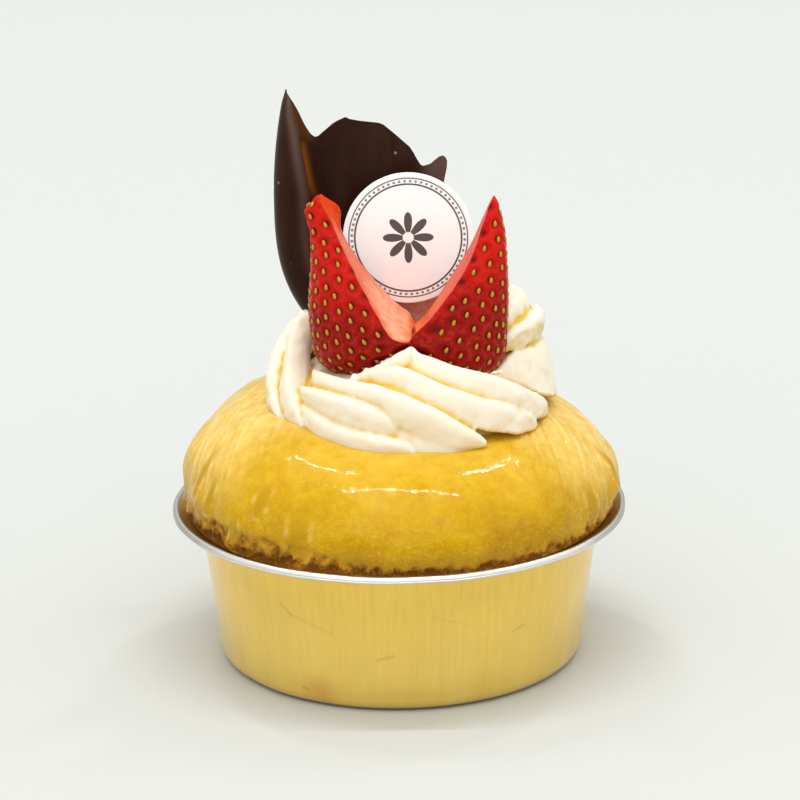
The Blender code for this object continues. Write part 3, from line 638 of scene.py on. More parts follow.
# Stations of each ridge: angle round the rosette, radius, height, half height, half depth (degrees, mm)
FRONT_RIDGES = (
    ((-62, 21.6, 52.4, 1.2, 1.4), (-46, 22.8, 51.0, 2.3, 2.4), (-30, 24.4, 49.8, 2.4, 2.4),
     (-14, 25.6, 49.2, 2.3, 2.3), (-1, 26.2, 48.8, 1.5, 1.6)),
    ((-16, 22.8, 51.6, 1.3, 1.3), (-5, 24.4, 50.8, 2.2, 1.8), (8, 25.5, 49.4, 2.2, 1.9),
     (20, 26.0, 48.8, 1.9, 1.8), (30, 26.0, 48.5, 1.2, 1.2)),
    ((-67, 20.6, 54.6, 1.0, 1.4), (-45, 21.8, 55.2, 2.1, 2.4), (-27, 23.0, 54.6, 2.7, 2.8),
     (-14, 23.8, 53.4, 2.8, 2.8), (-5, 24.4, 51.8, 1.7, 1.9)),
    ((-68, 17.8, 57.6, 1.2, 1.6), (-41, 19.6, 57.3, 2.3, 2.7), (-24, 21.2, 57.6, 2.4, 2.8),
     (-9, 22.6, 56.8, 2.8, 2.8), (6, 24.2, 54.2, 2.9, 2.8), (18, 25.4, 51.4, 2.6, 2.6),
     (29, 26.4, 49.2, 1.5, 1.8)),
    ((-24, 17.0, 59.0, 1.2, 1.6), (-5, 18.8, 60.0, 2.8, 2.8), (14, 21.4, 57.0, 3.0, 3.0),
     (32, 23.6, 53.8, 3.0, 2.8), (47, 25.2, 51.4, 2.8, 2.6), (60, 26.4, 49.2, 1.7, 2.0)),
    ((1, 14.6, 62.8, 1.7, 1.8), (11, 16.4, 61.9, 2.1, 2.2), (27, 19.2, 59.4, 2.5, 2.7),
     (40, 22.0, 57.6, 2.7, 2.8), (54, 24.2, 54.6, 2.7, 2.8), (68, 25.8, 51.4, 2.3, 2.4),
     (77, 26.6, 49.4, 1.3, 1.6)),
    ((-30, 18.6, 59.0, 0.7, 0.9), (-20, 18.0, 60.4, 1.3, 1.4), (-9, 17.0, 62.2, 1.4, 1.5),
     (1, 15.9, 64.0, 1.2, 1.2), (5, 15.5, 65.3, 0.5, 0.6)),
    ((66, 18.0, 56.2, 1.6, 1.8), (76, 20.8, 57.0, 3.6, 3.2), (90, 23.8, 55.7, 6.0, 4.6),
     (104, 25.2, 53.6, 5.2, 4.0), (122, 25.4, 52.0, 3.2, 3.2), (138, 25.4, 49.8, 1.6, 1.8)),
    ((72, 18.0, 62.5, 1.4, 2.0), (84, 21.8, 64.2, 2.4, 3.4), (98, 23.6, 64.2, 2.7, 3.8),
     (116, 24.0, 62.0, 2.6, 3.4), (138, 24.2, 57.6, 2.2, 2.8), (152, 24.4, 53.8, 1.4, 1.8)),
    ((70, 15.0, 65.0, 1.4, 1.8), (82, 18.4, 66.6, 2.8, 3.2), (98, 20.6, 66.8, 3.3, 4.0),
     (118, 21.4, 65.6, 3.4, 4.0), (142, 21.6, 62.4, 2.8, 3.2), (158, 21.4, 59.8, 1.6, 2.0)),
    ((-150, 14.0, 64.6, 1.6, 2.0), (-128, 17.6, 64.0, 3.0, 3.0), (-108, 20.8, 61.0, 3.4, 3.2),
     (-94, 23.2, 57.0, 3.4, 3.2), (-82, 24.4, 53.0, 2.8, 2.8), (-70, 25.0, 49.8, 1.6, 1.8)),
    ((-96, 18.4, 67.2, 1.0, 1.6), (-87, 20.0, 63.0, 2.2, 2.4), (-79, 21.2, 58.0, 2.9, 2.8),
     (-69, 22.8, 53.6, 2.9, 2.6), (-56, 23.8, 50.0, 1.6, 1.7)),
)
# Rough bits where the strawberries tore the cream: start, end (mm), how many
TORN_CREAM = (((-8.5, -16.2, 59.8), (1.5, -15.2, 65.0), 26), ((14.5, -14.6, 59.2), (19.4, -12.2, 59.6), 12))
# Ridges round the back: end of the first, step to the next, how many, sweep (degrees), stations, then
# radius, height, half height and half depth at the start and how much each changes on the way (mm)
HIDDEN_RIDGES = (
    (142, 20, 8, 74, (0.0, 0.25, 0.5, 0.75, 1.0), (15.0, 10.4), (61.8, 12.6), (2.3, 1.4), (2.6, 1.5)),
    (150, 26, 5, 50, (0.0, 0.33, 0.66, 1.0), (9.0, 10.0), (62.6, 2.4), (2.2, 1.2), (2.4, 1.3)),
)
RIDGE_STATIONS = 26
THINNEST_RIDGE = 0.3
HOLLOW_DEPTH = 0.55 * MM


def round_rosette(angle, radius, height):
    turn = math.radians(angle)
    return CREAM_CENTRE + Vector((radius * math.sin(turn), -radius * math.cos(turn), height)) * MM


def pipe_ridge(shape, rows):
    """Pipe one tapering ridge of cream through its stations, with its crest outwards."""
    angle, radius, height, tall, thick = rows[-1]
    tip = (angle + 4, radius + 0.9, height - 0.9, 0.3 * tall, 0.45 * thick)
    places = [between([*rows, tip], index / (RIDGE_STATIONS - 1)) for index in range(RIDGE_STATIONS)]
    centres = [round_rosette(*row[:3]) for row in places]
    sides = len(RIDGE_SECTION)
    ring = bmesh.ops.create_circle(shape, segments=sides, radius=1.0)["verts"]
    for vert in ring:
        side = round(math.atan2(vert.co.y, vert.co.x) * sides / math.tau) % sides
        vert.co = (*RIDGE_SECTION[side], 0.0)
    edges = list({edge for vert in ring for edge in vert.link_edges})
    first = list(edges)
    before = Matrix.Identity(4)
    for index, row in enumerate(places):
        along = (centres[min(index + 1, len(places) - 1)] - centres[max(index - 1, 0)]).normalized()
        out = centres[index] - Vector((CREAM_CENTRE.x, CREAM_CENTRE.y, centres[index].z - 6.0 * MM))
        out = (out - along * out.dot(along)).normalized()
        tall, thick = (max(size, THINNEST_RIDGE) for size in row[3:])
        axes = Matrix((out * thick * MM, out.cross(along) * tall * MM, along * MM))
        after = Matrix.Translation(centres[index]) @ axes.transposed().to_4x4()
        if index:
            grown = bmesh.ops.extrude_edge_only(shape, edges=edges)["geom"]
            ring = [part for part in grown if isinstance(part, bmesh.types.BMVert)]
            added = set(ring)
            edges = [part for part in grown
                     if isinstance(part, bmesh.types.BMEdge) and set(part.verts) <= added]
        bmesh.ops.transform(shape, matrix=after @ before.inverted(), verts=ring)
        before = after
    bmesh.ops.contextual_create(shape, geom=first)
    bmesh.ops.contextual_create(shape, geom=edges)


def soften(shape, factor, passes=1):
    for _ in range(passes):
        bmesh.ops.smooth_vert(shape, verts=shape.verts, factor=factor,
                              use_axis_x=True, use_axis_y=True, use_axis_z=True)


def whipped_cream(cream):
    """Whipped cream held by a star tube: soft, slightly moist, scattering light warmly, with painted shade in its
    hollows and on its undersides.
    """
    made, tree, shader, coords = surface("whipped_cream", Roughness=0.46, Subsurface_Weight=0.5,
                                         Subsurface_Scale=0.0018, Specular_IOR_Level=0.3)
    shader.inputs["Subsurface Radius"].default_value = (1.0, 0.85, 0.5)
    # Painted shade: warm yellow in the hollows between the ridges and on the undersides.
    painted_shade = add_node(tree, "ShaderNodeAttribute", attribute_name="painted_shade")
    deep = add_node(tree, "ShaderNodeMapRange", {0: painted_shade.outputs["Fac"], 1: 0.0, 2: 0.6, 3: 0.0, 4: 1.0})
    tone = add_node(tree, "ShaderNodeMix", {0: deep.outputs[0], 6: full(cream.cream), 7: full(cream.painted_shade)},
                    data_type="RGBA")
    tree.links.new(tone.outputs[2], shader.inputs["Base Color"])
    bubbles = add_node(tree, "ShaderNodeTexNoise", {"Vector": coords, "Scale": per_metre(0.7), "Detail": 3.0})
    bump = add_node(tree, "ShaderNodeBump",
                    {"Strength": 0.12, "Distance": 0.0003, "Height": bubbles.outputs[0]})
    tree.links.new(bump.outputs[0], shader.inputs["Normal"])
    return made


class BABA_OT_pipe_cream(bpy.types.Operator):
    """Pipe the cream rosette, ridge by ridge"""
    bl_idname = "baba.pipe_cream"
    bl_label = "Pipe cream"

    def execute(self, context):
        cream = context.scene.baba_cream
        shape = lathe([(radius * MM, height * MM) for radius, height in CREAM_CORE], 48)
        bmesh.ops.translate(shape, verts=shape.verts, vec=CREAM_CENTRE)
        for rows in FRONT_RIDGES:
            pipe_ridge(shape, rows)
        for start, step, count, sweep, shares, radii, heights, tall, thick in HIDDEN_RIDGES:
            for index in range(count):
                end = start + step * index
                pipe_ridge(shape, [
                    (end - sweep * (1 - share), radii[0] + radii[1] * math.sin(0.5 * math.pi * share),
                     heights[0] - heights[1] * share ** 1.4,
                     tall[0] - tall[1] * share ** 4, thick[0] - thick[1] * share ** 4) for share in shares])
        draw = random.Random(5)
        for start, end, count in TORN_CREAM:
            for index in range(count):
                place = Vector(start).lerp(Vector(end), (index + draw.random()) / count)
                place += Vector((draw.uniform(-0.4, 0.4), draw.uniform(-0.6, 0.6), draw.uniform(-0.3, 0.4)))
                bmesh.ops.create_icosphere(shape, subdivisions=1, radius=draw.uniform(0.3, 0.6) * MM,
                                           matrix=Matrix.Translation(place * MM))
        bmesh.ops.recalc_face_normals(shape, faces=shape.faces)
        rosette = piece_from("piped_rosette", shape, [whipped_cream(cream)], "whipped_cream", "cream_rosette")
        fuse = rosette.modifiers.new("fuse", "REMESH")
        fuse.mode = "VOXEL"
        fuse.voxel_size = cream.voxel
        baked(rosette)
        self.settle(rosette)
        return {"FINISHED"}

    def settle(self, rosette):
        """Soften the fused ridges, roughen them a little, and mark the hollows and undersides for painted shade."""
        shape = bmesh.new()
        shape.from_mesh(rosette.data)
        soften(shape, 0.5)
        shape.normal_update()
        for vert in shape.verts:
            grain = ripple(vert.co, 4.5, 2.0) * 0.22 + ripple(vert.co, 1.6, 7.0) * 0.07
            rough = smoothstep(19.0 * MM, 23.0 * MM, vert.co.x) + smoothstep(15.0 * MM, 19.0 * MM, -vert.co.x)
            grain += rough * (ripple(vert.co, 3.2, 5.0) * 0.3 + ripple(vert.co, 1.3, 3.0) * 0.12)
            vert.co += vert.normal * grain * MM
        shape.normal_update()
        held = [(vert.co.copy(), vert.normal.copy()) for vert in shape.verts]
        # Heavy smoothing fills the hollows, and how far each point rises tells how deep it lies
        soften(shape, 0.7, 24)
        painted_shade = []
        for vert, (at, normal) in zip(shape.verts, held):
            depth = (vert.co - at).dot(normal) / HOLLOW_DEPTH
            # Painted shade: full in the hollows, and a share of it on faces turned down.
            painted_shade.append(max(depth, 0.6 * smoothstep(-0.2, 0.6, -normal.z)))
            vert.co = at
        store(shape, "painted_shade", painted_shade)
        shape.to_mesh(rosette.data)
        shape.free()
        if not rosette.data.materials:
            rosette.data.materials.append(bpy.data.materials["whipped_cream"])
        rosette.data.shade_smooth()


# Strawberries

LEFT_BERRY = {
    "tip": (-14.5, -3.7, 91.7), "hull": (1.7, -5.0, 64.4), "cut_side": (-1, 0, 0), "yaw": -1.2,
    "profile": ((0.0, 0.8), (7.0, 0.0), (13.0, -0.2), (15.2, 1.6), (16.6, 5.6), (15.0, 10.5),
                (12.0, 16.0), (8.4, 21.1), (5.2, 26.2), (3.9, 29.7), (3.0, 31.6), (0.0, 32.4)),
    "depth": 0.66, "cut": (-1.6, 0.4), "seed": 3, "lip": (28.0, 3.0, 1.8),
    "bow": ((0.0, 3.5), (1.6, 2.8), (3.3, 1.6), (5.6, 0.95), (9.2, 0.45), (12.7, 0.15), (16.2, -0.08),
            (19.8, -0.1), (23.3, 0.0), (26.8, 0.3), (30.0, 0.1)),
}
RIGHT_BERRY = {
    "tip": (18.3, -4.7, 92.6), "hull": (5.6, -5.0, 62.6), "cut_side": (1, 0, 0), "yaw": -2.3,
    "profile": ((0.0, 0.8), (7.0, 0.0), (12.2, -0.2), (14.4, 2.0), (14.2, 5.9), (12.5, 10.8),
                (10.3, 16.3), (7.9, 21.6), (5.3, 26.8), (2.8, 30.4), (1.2, 32.0), (0.0, 32.7)),
    "depth": 0.56, "cut": (1.2, -0.6), "seed": 7, "lip": None,
    "bow": ((0.0, 3.0), (3.0, 2.0), (7.3, 0.8), (10.5, 0.3), (13.8, -0.2), (17.1, -0.65), (20.4, -0.85),
            (23.7, -0.65), (27.0, -0.2), (30.3, 0.1)),
}
BACK_BERRY = {
    "tip": (3.0, 12.4, 82.3), "hull": (2.6, 7.8, 59.5), "cut_side": (0, 1, 0), "yaw": 0.0,
    "profile": ((0.0, 0.6), (4.0, 0.0), (6.6, 0.6), (7.5, 3.4), (7.3, 8.0),
                (6.0, 13.4), (4.2, 18.2), (2.5, 21.4), (1.2, 22.9), (0.0, 23.5)),
    "depth": 1.45, "cut": (0.0, 0.0), "seed": 11, "lip": None, "bow": ((0.0, 0.0),),
}
BOW_TWIST = 0.45 / (8.0 * MM)
BERRY_STEPS = 150
BERRY_SEGMENTS = 300
SEED_ROW_SPACING = 2.5
SEED_SPACING = 2.9
SEED_JITTER = 0.25
# Width of a dimple, and of the shade that a material reads in it (mm)
DIMPLE_WIDTH = 0.95
DIMPLE_SHADE_WIDTH = 1.15
# Rings of the cut face: size of each beside the one round it, and how far it is on the way to the core
CUT_RINGS = ((0.96, 0.1), (0.9, 0.3), (0.8, 0.6), (0.7, 0.9), (0.4, 1.0))
SEED_SINK = 0.62


def berry_axes(berry):
    """Berry axes: Z from the hull end to the tip, X away from the cut face."""
    tip, hull = Vector(berry["tip"]) * MM, Vector(berry["hull"]) * MM
    up = (tip - hull).normalized()
    away = Vector(berry["cut_side"])
    away = (away - up * away.dot(up)).normalized()
    turn = Matrix((away, up.cross(away), up)).transposed().to_4x4()
    return Matrix.Translation(hull) @ turn @ Matrix.Rotation(math.radians(berry["yaw"]), 4, "Z")


def rounded_profile(berry, steps):
    return [between(berry["profile"], step / steps) for step in range(steps + 1)]


def seed_places(berry):
    """Places of the seeds on the skin, in staggered rows: position, direction along the berry, outward."""
    draw = random.Random(berry["seed"])
    rows = [Vector(row) for row in rounded_profile(berry, 120)]
    depth = berry["depth"]
    travelled = 0.0
    next_row = SEED_ROW_SPACING
    turn = 0
    for low, high in zip(rows, rows[1:]):
        travelled += (high - low).length
        if low.x < 1.2 or high.y < 0.6 or travelled < next_row:
            continue
        next_row = travelled + SEED_ROW_SPACING
        turn += 1
        slope = (high - low).normalized()
        count = max(2, round(math.pi * low.x * (0.5 + 0.5 * depth) / SEED_SPACING))
        for index in range(count):
            share = (index + 0.5 + 0.25 * (-1) ** turn + draw.uniform(-0.12, 0.12)) / count
            angle = math.pi * (share - 0.5)
            drop = draw.uniform(-SEED_JITTER, SEED_JITTER)
            radius, height = low.x + slope.x * drop, low.y + slope.y * drop
            at = Vector((radius * math.cos(angle), depth * radius * math.sin(angle), height)) * MM
            across = Vector((-math.sin(angle), depth * math.cos(angle), 0.0)).normalized()
            along = Vector((slope.x * math.cos(angle), depth * slope.x * math.sin(angle), slope.y))
            along.normalize()
            yield at, along, across.cross(along).normalized()


def sink_dimples(shape, berry, places, sizes):
    """Sink a dimple round each seed, and roughen the skin a little."""
    layer = shape.verts.layers.float.new("dimple")
    near = kdtree.KDTree(len(places))
    for index, (at, _, _) in enumerate(places):
        near.insert(at, index)
    near.balance()
    for vert in shape.verts:
        away = near.find(vert.co)[2] / MM
        vert[layer] = math.exp(-(away / DIMPLE_SHADE_WIDTH) ** 2)
        sink = -sizes.dimple * math.exp(-(away / DIMPLE_WIDTH) ** 2)
        sink += 0.12 * MM * ripple(vert.co, 4.0, berry["seed"])
        vert.co += vert.normal * sink


def curl_lip(shape, core, at_hull, lift, spread, reach):
    """Curl a lip of skin over the cut, where the knife dragged it."""
    for vert in shape.verts:
        behind = smoothstep(0.4 * MM, 1.6 * MM, -vert.co.y)
        behind *= 1.0 - smoothstep(0.0, 2.5 * MM, vert.co.x + at_hull)
        lip = behind * math.exp(-((vert.co.z / MM - lift) / spread) ** 2)
        vert.co.x -= lip * reach * MM * (1.0 - smoothstep(0.1, 0.6, vert[core]))
    for face in shape.faces:
        middle = face.calc_center_median()
        level = abs(middle.z / MM - lift)
        if middle.y < -1.0 * MM and level < spread and max(vert[core] for vert in face.verts) < 0.15:
            face.material_index = 0


def berry_body(berry, places, sizes):
    """Half strawberry in its own axes: dimpled skin, sliced by a flat cut."""
    profile = [(max(radius, 0.0) * MM, height * MM) for radius, height in rounded_profile(berry, BERRY_STEPS)]
    profile[0] = (0.0, profile[0][1])
    profile[-1] = (0.0, profile[-1][1])
    shape = lathe(profile, BERRY_SEGMENTS)
    bmesh.ops.scale(shape, verts=shape.verts, vec=(1.0, berry["depth"], 1.0))
    shape.normal_update()
    sink_dimples(shape, berry, places, sizes)
    core = shape.verts.layers.float.new("core")
    at_hull, at_tip = (value * MM for value in berry["cut"])
    slope = (at_tip - at_hull) / (berry["profile"][-1][1] * MM)
    sliced = bmesh.ops.bisect_plane(shape, geom=shape.verts[:] + shape.edges[:] + shape.faces[:],
                                    plane_co=(-at_hull, 0.0, 0.0), plane_no=(-1.0, 0.0, -slope),
                                    clear_outer=True)
    rim = [part for part in sliced["geom_cut"] if isinstance(part, bmesh.types.BMEdge)]
    cut = bmesh.ops.contextual_create(shape, geom=rim)["faces"][0]
    middle = sum((vert.co for vert in cut.verts), Vector()) / len(cut.verts)
    for share, value in CUT_RINGS:
        bmesh.ops.inset_individual(shape, faces=[cut], thickness=0.0)
        for vert in cut.verts:
            vert.co = middle.lerp(vert.co, share)
            vert[core] = value
    bmesh.ops.recalc_face_normals(shape, faces=shape.faces)
    for face in shape.faces:
        if face.normal.x < -0.94 and abs(face.calc_center_median().x + at_hull) < 3.2 * MM:
            face.material_index = 1
    if berry["lip"]:
        curl_lip(shape, core, at_hull, *berry["lip"])
    for vert in shape.verts:
        near_cut = 1.0 - smoothstep(0.0, 5.0 * MM, vert.co.x + at_hull)
        twist = 1.0 - BOW_TWIST * vert.co.y * smoothstep(0.0, 4.0 * MM, vert.co.z)
        vert.co.x -= from_table(berry["bow"], vert.co.z / MM) * MM * near_cut * twist
    return shape


def strawberry_skin(sizes):
    """Ripe strawberry skin: moist and glossy, with painted shade in the dimples and a painted highlight on the net
    between them.
    """
    made, tree, shader, coords = surface("strawberry_skin", Roughness=0.3, Subsurface_Weight=0.2,
                                         Subsurface_Scale=0.0012, Coat_Weight=0.3, Coat_Roughness=0.06, Coat_IOR=1.33,
                                         Specular_IOR_Level=0.05)
    shader.inputs["Subsurface Radius"].default_value = (1.0, 0.15, 0.08)
    dimple = add_node(tree, "ShaderNodeAttribute", attribute_name="dimple")
    mottle = add_node(tree, "ShaderNodeTexNoise", {"Vector": coords, "Scale": per_metre(2.2), "Detail": 4.0,
                                                   "Roughness": 0.65})
    ripe = add_node(tree, "ShaderNodeMix", {0: mottle.outputs[0], 6: full(sizes.skin),
                                            7: full([0.62 * part for part in sizes.skin])}, data_type="RGBA")
    # Darker in broad patches and towards the bottom.
    blush = add_node(tree, "ShaderNodeTexNoise", {"Vector": coords, "Scale": per_metre(9.0), "Detail": 2.0})
    apart = add_node(tree, "ShaderNodeSeparateXYZ", {0: coords})
    low = add_node(tree, "ShaderNodeMapRange",
                   {0: apart.outputs[2], 1: 66.0 * MM, 2: 84.0 * MM, 3: 0.45, 4: -0.25})
    patches_and_low = add_node(tree, "ShaderNodeMath", {0: blush.outputs[0], 1: low.outputs[0]}, operation="ADD")
    dark_share = add_node(tree, "ShaderNodeMapRange", {0: patches_and_low.outputs[0], 1: 0.35, 2: 0.85, 3: 0.0, 4: 0.85})
    darker = add_node(tree, "ShaderNodeMix",
                      {0: dark_share.outputs[0], 6: ripe.outputs[2], 7: full(sizes.skin_dark)},
                      data_type="RGBA")
    # Painted highlight on the raised net between the dimples, where it catches the light.
    between_seeds = add_node(tree, "ShaderNodeMapRange",
                             {0: dimple.outputs["Fac"], 1: 0.05, 2: 0.36, 3: 0.46, 4: 0.0})
    grain = add_node(tree, "ShaderNodeTexNoise", {"Vector": coords, "Scale": per_metre(0.9), "Detail": 2.0})
    patchy = add_node(tree, "ShaderNodeMapRange", {0: grain.outputs[0], 1: 0.36, 2: 0.66, 3: 0.0, 4: 1.0})
    net_highlight = add_node(tree, "ShaderNodeMath", {0: between_seeds.outputs[0], 1: patchy.outputs[0]},
                   operation="MULTIPLY")
    net_highlighted = add_node(tree, "ShaderNodeMix",
                      {0: net_highlight.outputs[0], 6: darker.outputs[2], 7: full(colour("D6402C"))},
                      data_type="RGBA")
    # Painted shade deep in the dimples round the seeds.
    dimple_shade = add_node(tree, "ShaderNodeMapRange", {0: dimple.outputs["Fac"], 1: 0.45, 2: 0.95, 3: 0.0, 4: 0.9})
    tone = add_node(tree, "ShaderNodeMix",
                    {0: dimple_shade.outputs[0], 6: net_highlighted.outputs[2], 7: full(colour("6A0C04"))},
                    data_type="RGBA")
    tree.links.new(tone.outputs[2], shader.inputs["Base Color"])
    pores = add_node(tree, "ShaderNodeTexNoise", {"Vector": coords, "Scale": per_metre(0.6), "Detail": 3.0})
    bump = add_node(tree, "ShaderNodeBump", {"Strength": 0.5, "Distance": 0.0003, "Height": pores.outputs[0]})
    tree.links.new(bump.outputs[0], shader.inputs["Normal"])
    return made


def strawberry_flesh(sizes):
    """Freshly cut strawberry flesh: wet, orange-red at the edge and paler in the middle."""
    made, tree, shader, coords = surface("strawberry_cut_flesh", Roughness=0.35, Subsurface_Weight=0.4,
                                         Subsurface_Scale=0.0008, Coat_Weight=0.04, Coat_Roughness=0.2,
                                         Specular_IOR_Level=0.08)
    shader.inputs["Subsurface Radius"].default_value = (1.0, 0.3, 0.15)
    core = add_node(tree, "ShaderNodeAttribute", attribute_name="core")
    fibre = add_node(tree, "ShaderNodeTexNoise", {"Vector": coords, "Scale": per_metre(1.4), "Detail": 4.0})
    both = add_node(tree, "ShaderNodeMath", {0: fibre.outputs[0], 1: 0.9, 2: -0.45}, operation="MULTIPLY_ADD")
    apart = add_node(tree, "ShaderNodeSeparateXYZ", {0: coords})
    low = add_node(tree, "ShaderNodeMapRange",
                   {0: apart.outputs[2], 1: 67.0 * MM, 2: 77.0 * MM, 3: 0.7, 4: 0.0})
    heart = add_node(tree, "ShaderNodeMath", {0: core.outputs["Fac"], 1: 0.55, 2: low.outputs[0]},
                     operation="MULTIPLY_ADD")
    deeper = add_node(tree, "ShaderNodeMapRange",
                      {0: apart.outputs[0], 1: 2.0 * MM, 2: 5.0 * MM, 3: 0.0, 4: -0.45})
    shown = add_node(tree, "ShaderNodeMath", {0: both.outputs[0], 1: deeper.outputs[0]}, operation="ADD")
    level = add_node(tree, "ShaderNodeMath", {0: heart.outputs[0], 1: shown.outputs[0]}, operation="ADD")
    tone = add_node(tree, "ShaderNodeValToRGB", {0: level.outputs[0]})
    ramp = tone.color_ramp.elements
    ramp[0].position, ramp[0].color = 0.05, full(sizes.flesh)
    ramp[1].position, ramp[1].color = 1.0, full(colour("EDB48E"))
    middle = ramp.new(0.55)
    middle.color = full(sizes.core)
    # The far berry's cut, seen in the V, is mottled pink, painted lighter than its own colour to stand against the
    # shade it sits in.
    mealy = add_node(tree, "ShaderNodeTexNoise", {"Vector": coords, "Scale": per_metre(1.0), "Detail": 3.0})
    pink = add_node(tree, "ShaderNodeMix",
                    {0: mealy.outputs[0], 6: full(colour("E05A44")), 7: full(colour("FFC4B2"))},
                    data_type="RGBA")
    rear = add_node(tree, "ShaderNodeMapRange",
                    {0: apart.outputs[1], 1: 3.0 * MM, 2: 5.0 * MM, 3: 0.0, 4: 1.0})
    cut = add_node(tree, "ShaderNodeMix", {0: rear.outputs[0], 6: tone.outputs[0], 7: pink.outputs[2]},
                   data_type="RGBA")
    above = add_node(tree, "ShaderNodeMath", {0: apart.outputs[1], 1: 0.2, 2: apart.outputs[2]},
                     operation="MULTIPLY_ADD")
    right = add_node(tree, "ShaderNodeMapRange",
                     {0: apart.outputs[0], 1: 2.6 * MM, 2: 3.2 * MM, 3: 0.0, 4: 1.6 * MM})
    above = add_node(tree, "ShaderNodeMath", {0: above.outputs[0], 1: right.outputs[0]}, operation="SUBTRACT")
    wrap = add_node(tree, "ShaderNodeMapRange",
                    {0: above.outputs[0], 1: 63.4 * MM, 2: 63.8 * MM, 3: 1.0, 4: 0.0})
    fore = add_node(tree, "ShaderNodeMath", {0: apart.outputs[1], 1: 3.0 * MM}, operation="LESS_THAN")
    wrapped = add_node(tree, "ShaderNodeMath", {0: wrap.outputs[0], 1: fore.outputs[0]}, operation="MULTIPLY")
    ended = add_node(tree, "ShaderNodeMix",
                     {0: wrapped.outputs[0], 6: cut.outputs[2], 7: full(sizes.skin_dark)},
                     data_type="RGBA")
    tree.links.new(ended.outputs[2], shader.inputs["Base Color"])
    bump = add_node(tree, "ShaderNodeBump", {"Strength": 0.3, "Distance": 0.0003, "Height": fibre.outputs[0]})
    tree.links.new(bump.outputs[0], shader.inputs["Normal"])
    return made


def seed_husk(sizes):
    """Strawberry seed: dry golden husk, olive at its rim."""
    made, tree, shader, coords = surface("strawberry_seed_husk", Roughness=0.45)
    rim = add_node(tree, "ShaderNodeAttribute", attribute_name="rim")
    tone = add_node(tree, "ShaderNodeMix",
                    {0: rim.outputs["Fac"], 6: full(sizes.seed), 7: full(colour("4A3A0A"))},
                    data_type="RGBA")
    tree.links.new(tone.outputs[2], shader.inputs["Base Color"])
    return made


def add_seeds(shape, layer, places, frame_of_berry, sizes):
    """Lay a pointed seed in each dimple."""
    for at, along, out in places:
        grown = bmesh.ops.create_uvsphere(shape, u_segments=10, v_segments=6, radius=0.5)["verts"]
        for vert in grown:
            rim = min(max(2.2 * math.hypot(vert.co.x, vert.co.y) - 0.35, 0.0), 1.0)
            vert[layer] = rim if vert.co.z < 0.2 else 0.0
            vert.co.x *= 1.0 - 0.5 * vert.co.y
        bmesh.ops.scale(shape, verts=grown, vec=(sizes.seed_width, sizes.seed_length, 0.75 * MM))
        turn = Matrix((along.cross(out), along, out)).transposed().to_4x4()
        place = Matrix.Translation(at - out * (sizes.dimple * SEED_SINK)) @ turn
        bmesh.ops.transform(shape, verts=grown, matrix=frame_of_berry @ place)


class BABA_OT_cut_strawberries(bpy.types.Operator):
    """Cut the strawberries and set them in the cream"""
    bl_idname = "baba.cut_strawberries"
    bl_label = "Cut strawberries"

    def execute(self, context):
        sizes = context.scene.baba_berry
        finishes = [strawberry_skin(sizes), strawberry_flesh(sizes)]
        seeds = bmesh.new()
        layer = seeds.verts.layers.float.new("rim")
        for side, berry in (("left", LEFT_BERRY), ("right", RIGHT_BERRY), ("back", BACK_BERRY)):
            places = list(seed_places(berry))
            axes = berry_axes(berry)
            body = berry_body(berry, places, sizes)
            at_hull, at_tip = berry["cut"]
            kept = [place for place in places if place[0].x > -at_hull * MM + 0.9 * MM
                    - (at_tip - at_hull) * place[0].z / berry["profile"][-1][1]]
            add_seeds(seeds, layer, kept, axes, sizes)
            bmesh.ops.transform(body, matrix=axes, verts=body.verts)
            piece_from("cut_strawberry_" + side, body, finishes, "strawberry",
                       "strawberry_" + side, sharp=50.0)
        bmesh.ops.recalc_face_normals(seeds, faces=seeds.faces)
        piece_from("strawberry_seeds", seeds, [seed_husk(sizes)], "strawberry")
        return {"FINISHED"}


# Chocolate shard

SHARD_BEND_PLACE = Vector((-18.8, 12.5, 64.0)) * MM
SHARD_LEAN = 0.075
SHARD_WAIST = 87.0 * MM
SHARD_TOP_DRAW = (2.5 * MM, 21.5 * MM)
SHARD_FOOT_DRAW = (4.5 * MM, 20.8 * MM)
# Distance along the sheet from its bend, and height (mm)
SHARD_TOP_EDGE = (
    (-9.4, 86.0), (-9.1, 88.5), (-8.5, 92.4), (-7.5, 96.3), (-6.9, 98.6), (-6.2, 100.9), (-5.2, 103.6),
    (-4.1, 105.7), (-2.8, 107.1), (-1.0, 107.9), (0.0, 108.5), (1.0, 107.7), (2.2, 106.9), (3.1, 106.1),
    (4.1, 105.1), (5.0, 104.0), (5.9, 102.7), (6.6, 101.5), (7.3, 100.4), (8.1, 99.3), (8.7, 98.6),
    (9.5, 98.1), (10.1, 98.3), (10.8, 99.0), (11.7, 99.8), (12.5, 100.6), (13.4, 101.2), (14.9, 101.9),
    (15.7, 101.5), (17.9, 101.1), (21.4, 100.7), (22.5, 100.3), (24.6, 98.7), (26.9, 96.8), (28.0, 95.9),
    (28.8, 94.8), (30.1, 92.7), (30.5, 92.2), (31.0, 92.1), (32.3, 92.5), (33.6, 93.7), (34.1, 94.0),
    (34.7, 94.1), (35.3, 93.6), (35.5, 93.0),
)
# Painted highlight streak down the flap, and the thin place where light shines through, painted as an amber glow:
# height, distance along
FLAP_HIGHLIGHT = (
    (80.0, -7.9), (89.0, -7.8), (93.0, -7.1), (96.3, -6.3), (101.0, -5.2), (104.0, -4.0), (107.0, -2.8),
)
GLOW_PLACE = ((86.0, 9.9), (90.3, 8.6), (93.6, 7.9), (96.6, 7.1), (99.0, 6.8))
SHARD_FOOT_EDGE = (
    (-9.4, 69.0), (-6.5, 64.4), (-2.0, 61.6), (6.0, 61.0), (11.0, 62.6), (14.0, 67.0),
    (18.0, 76.0), (24.0, 80.5), (31.4, 83.0), (33.9, 85.5), (34.9, 88.4), (35.5, 91.8),
)


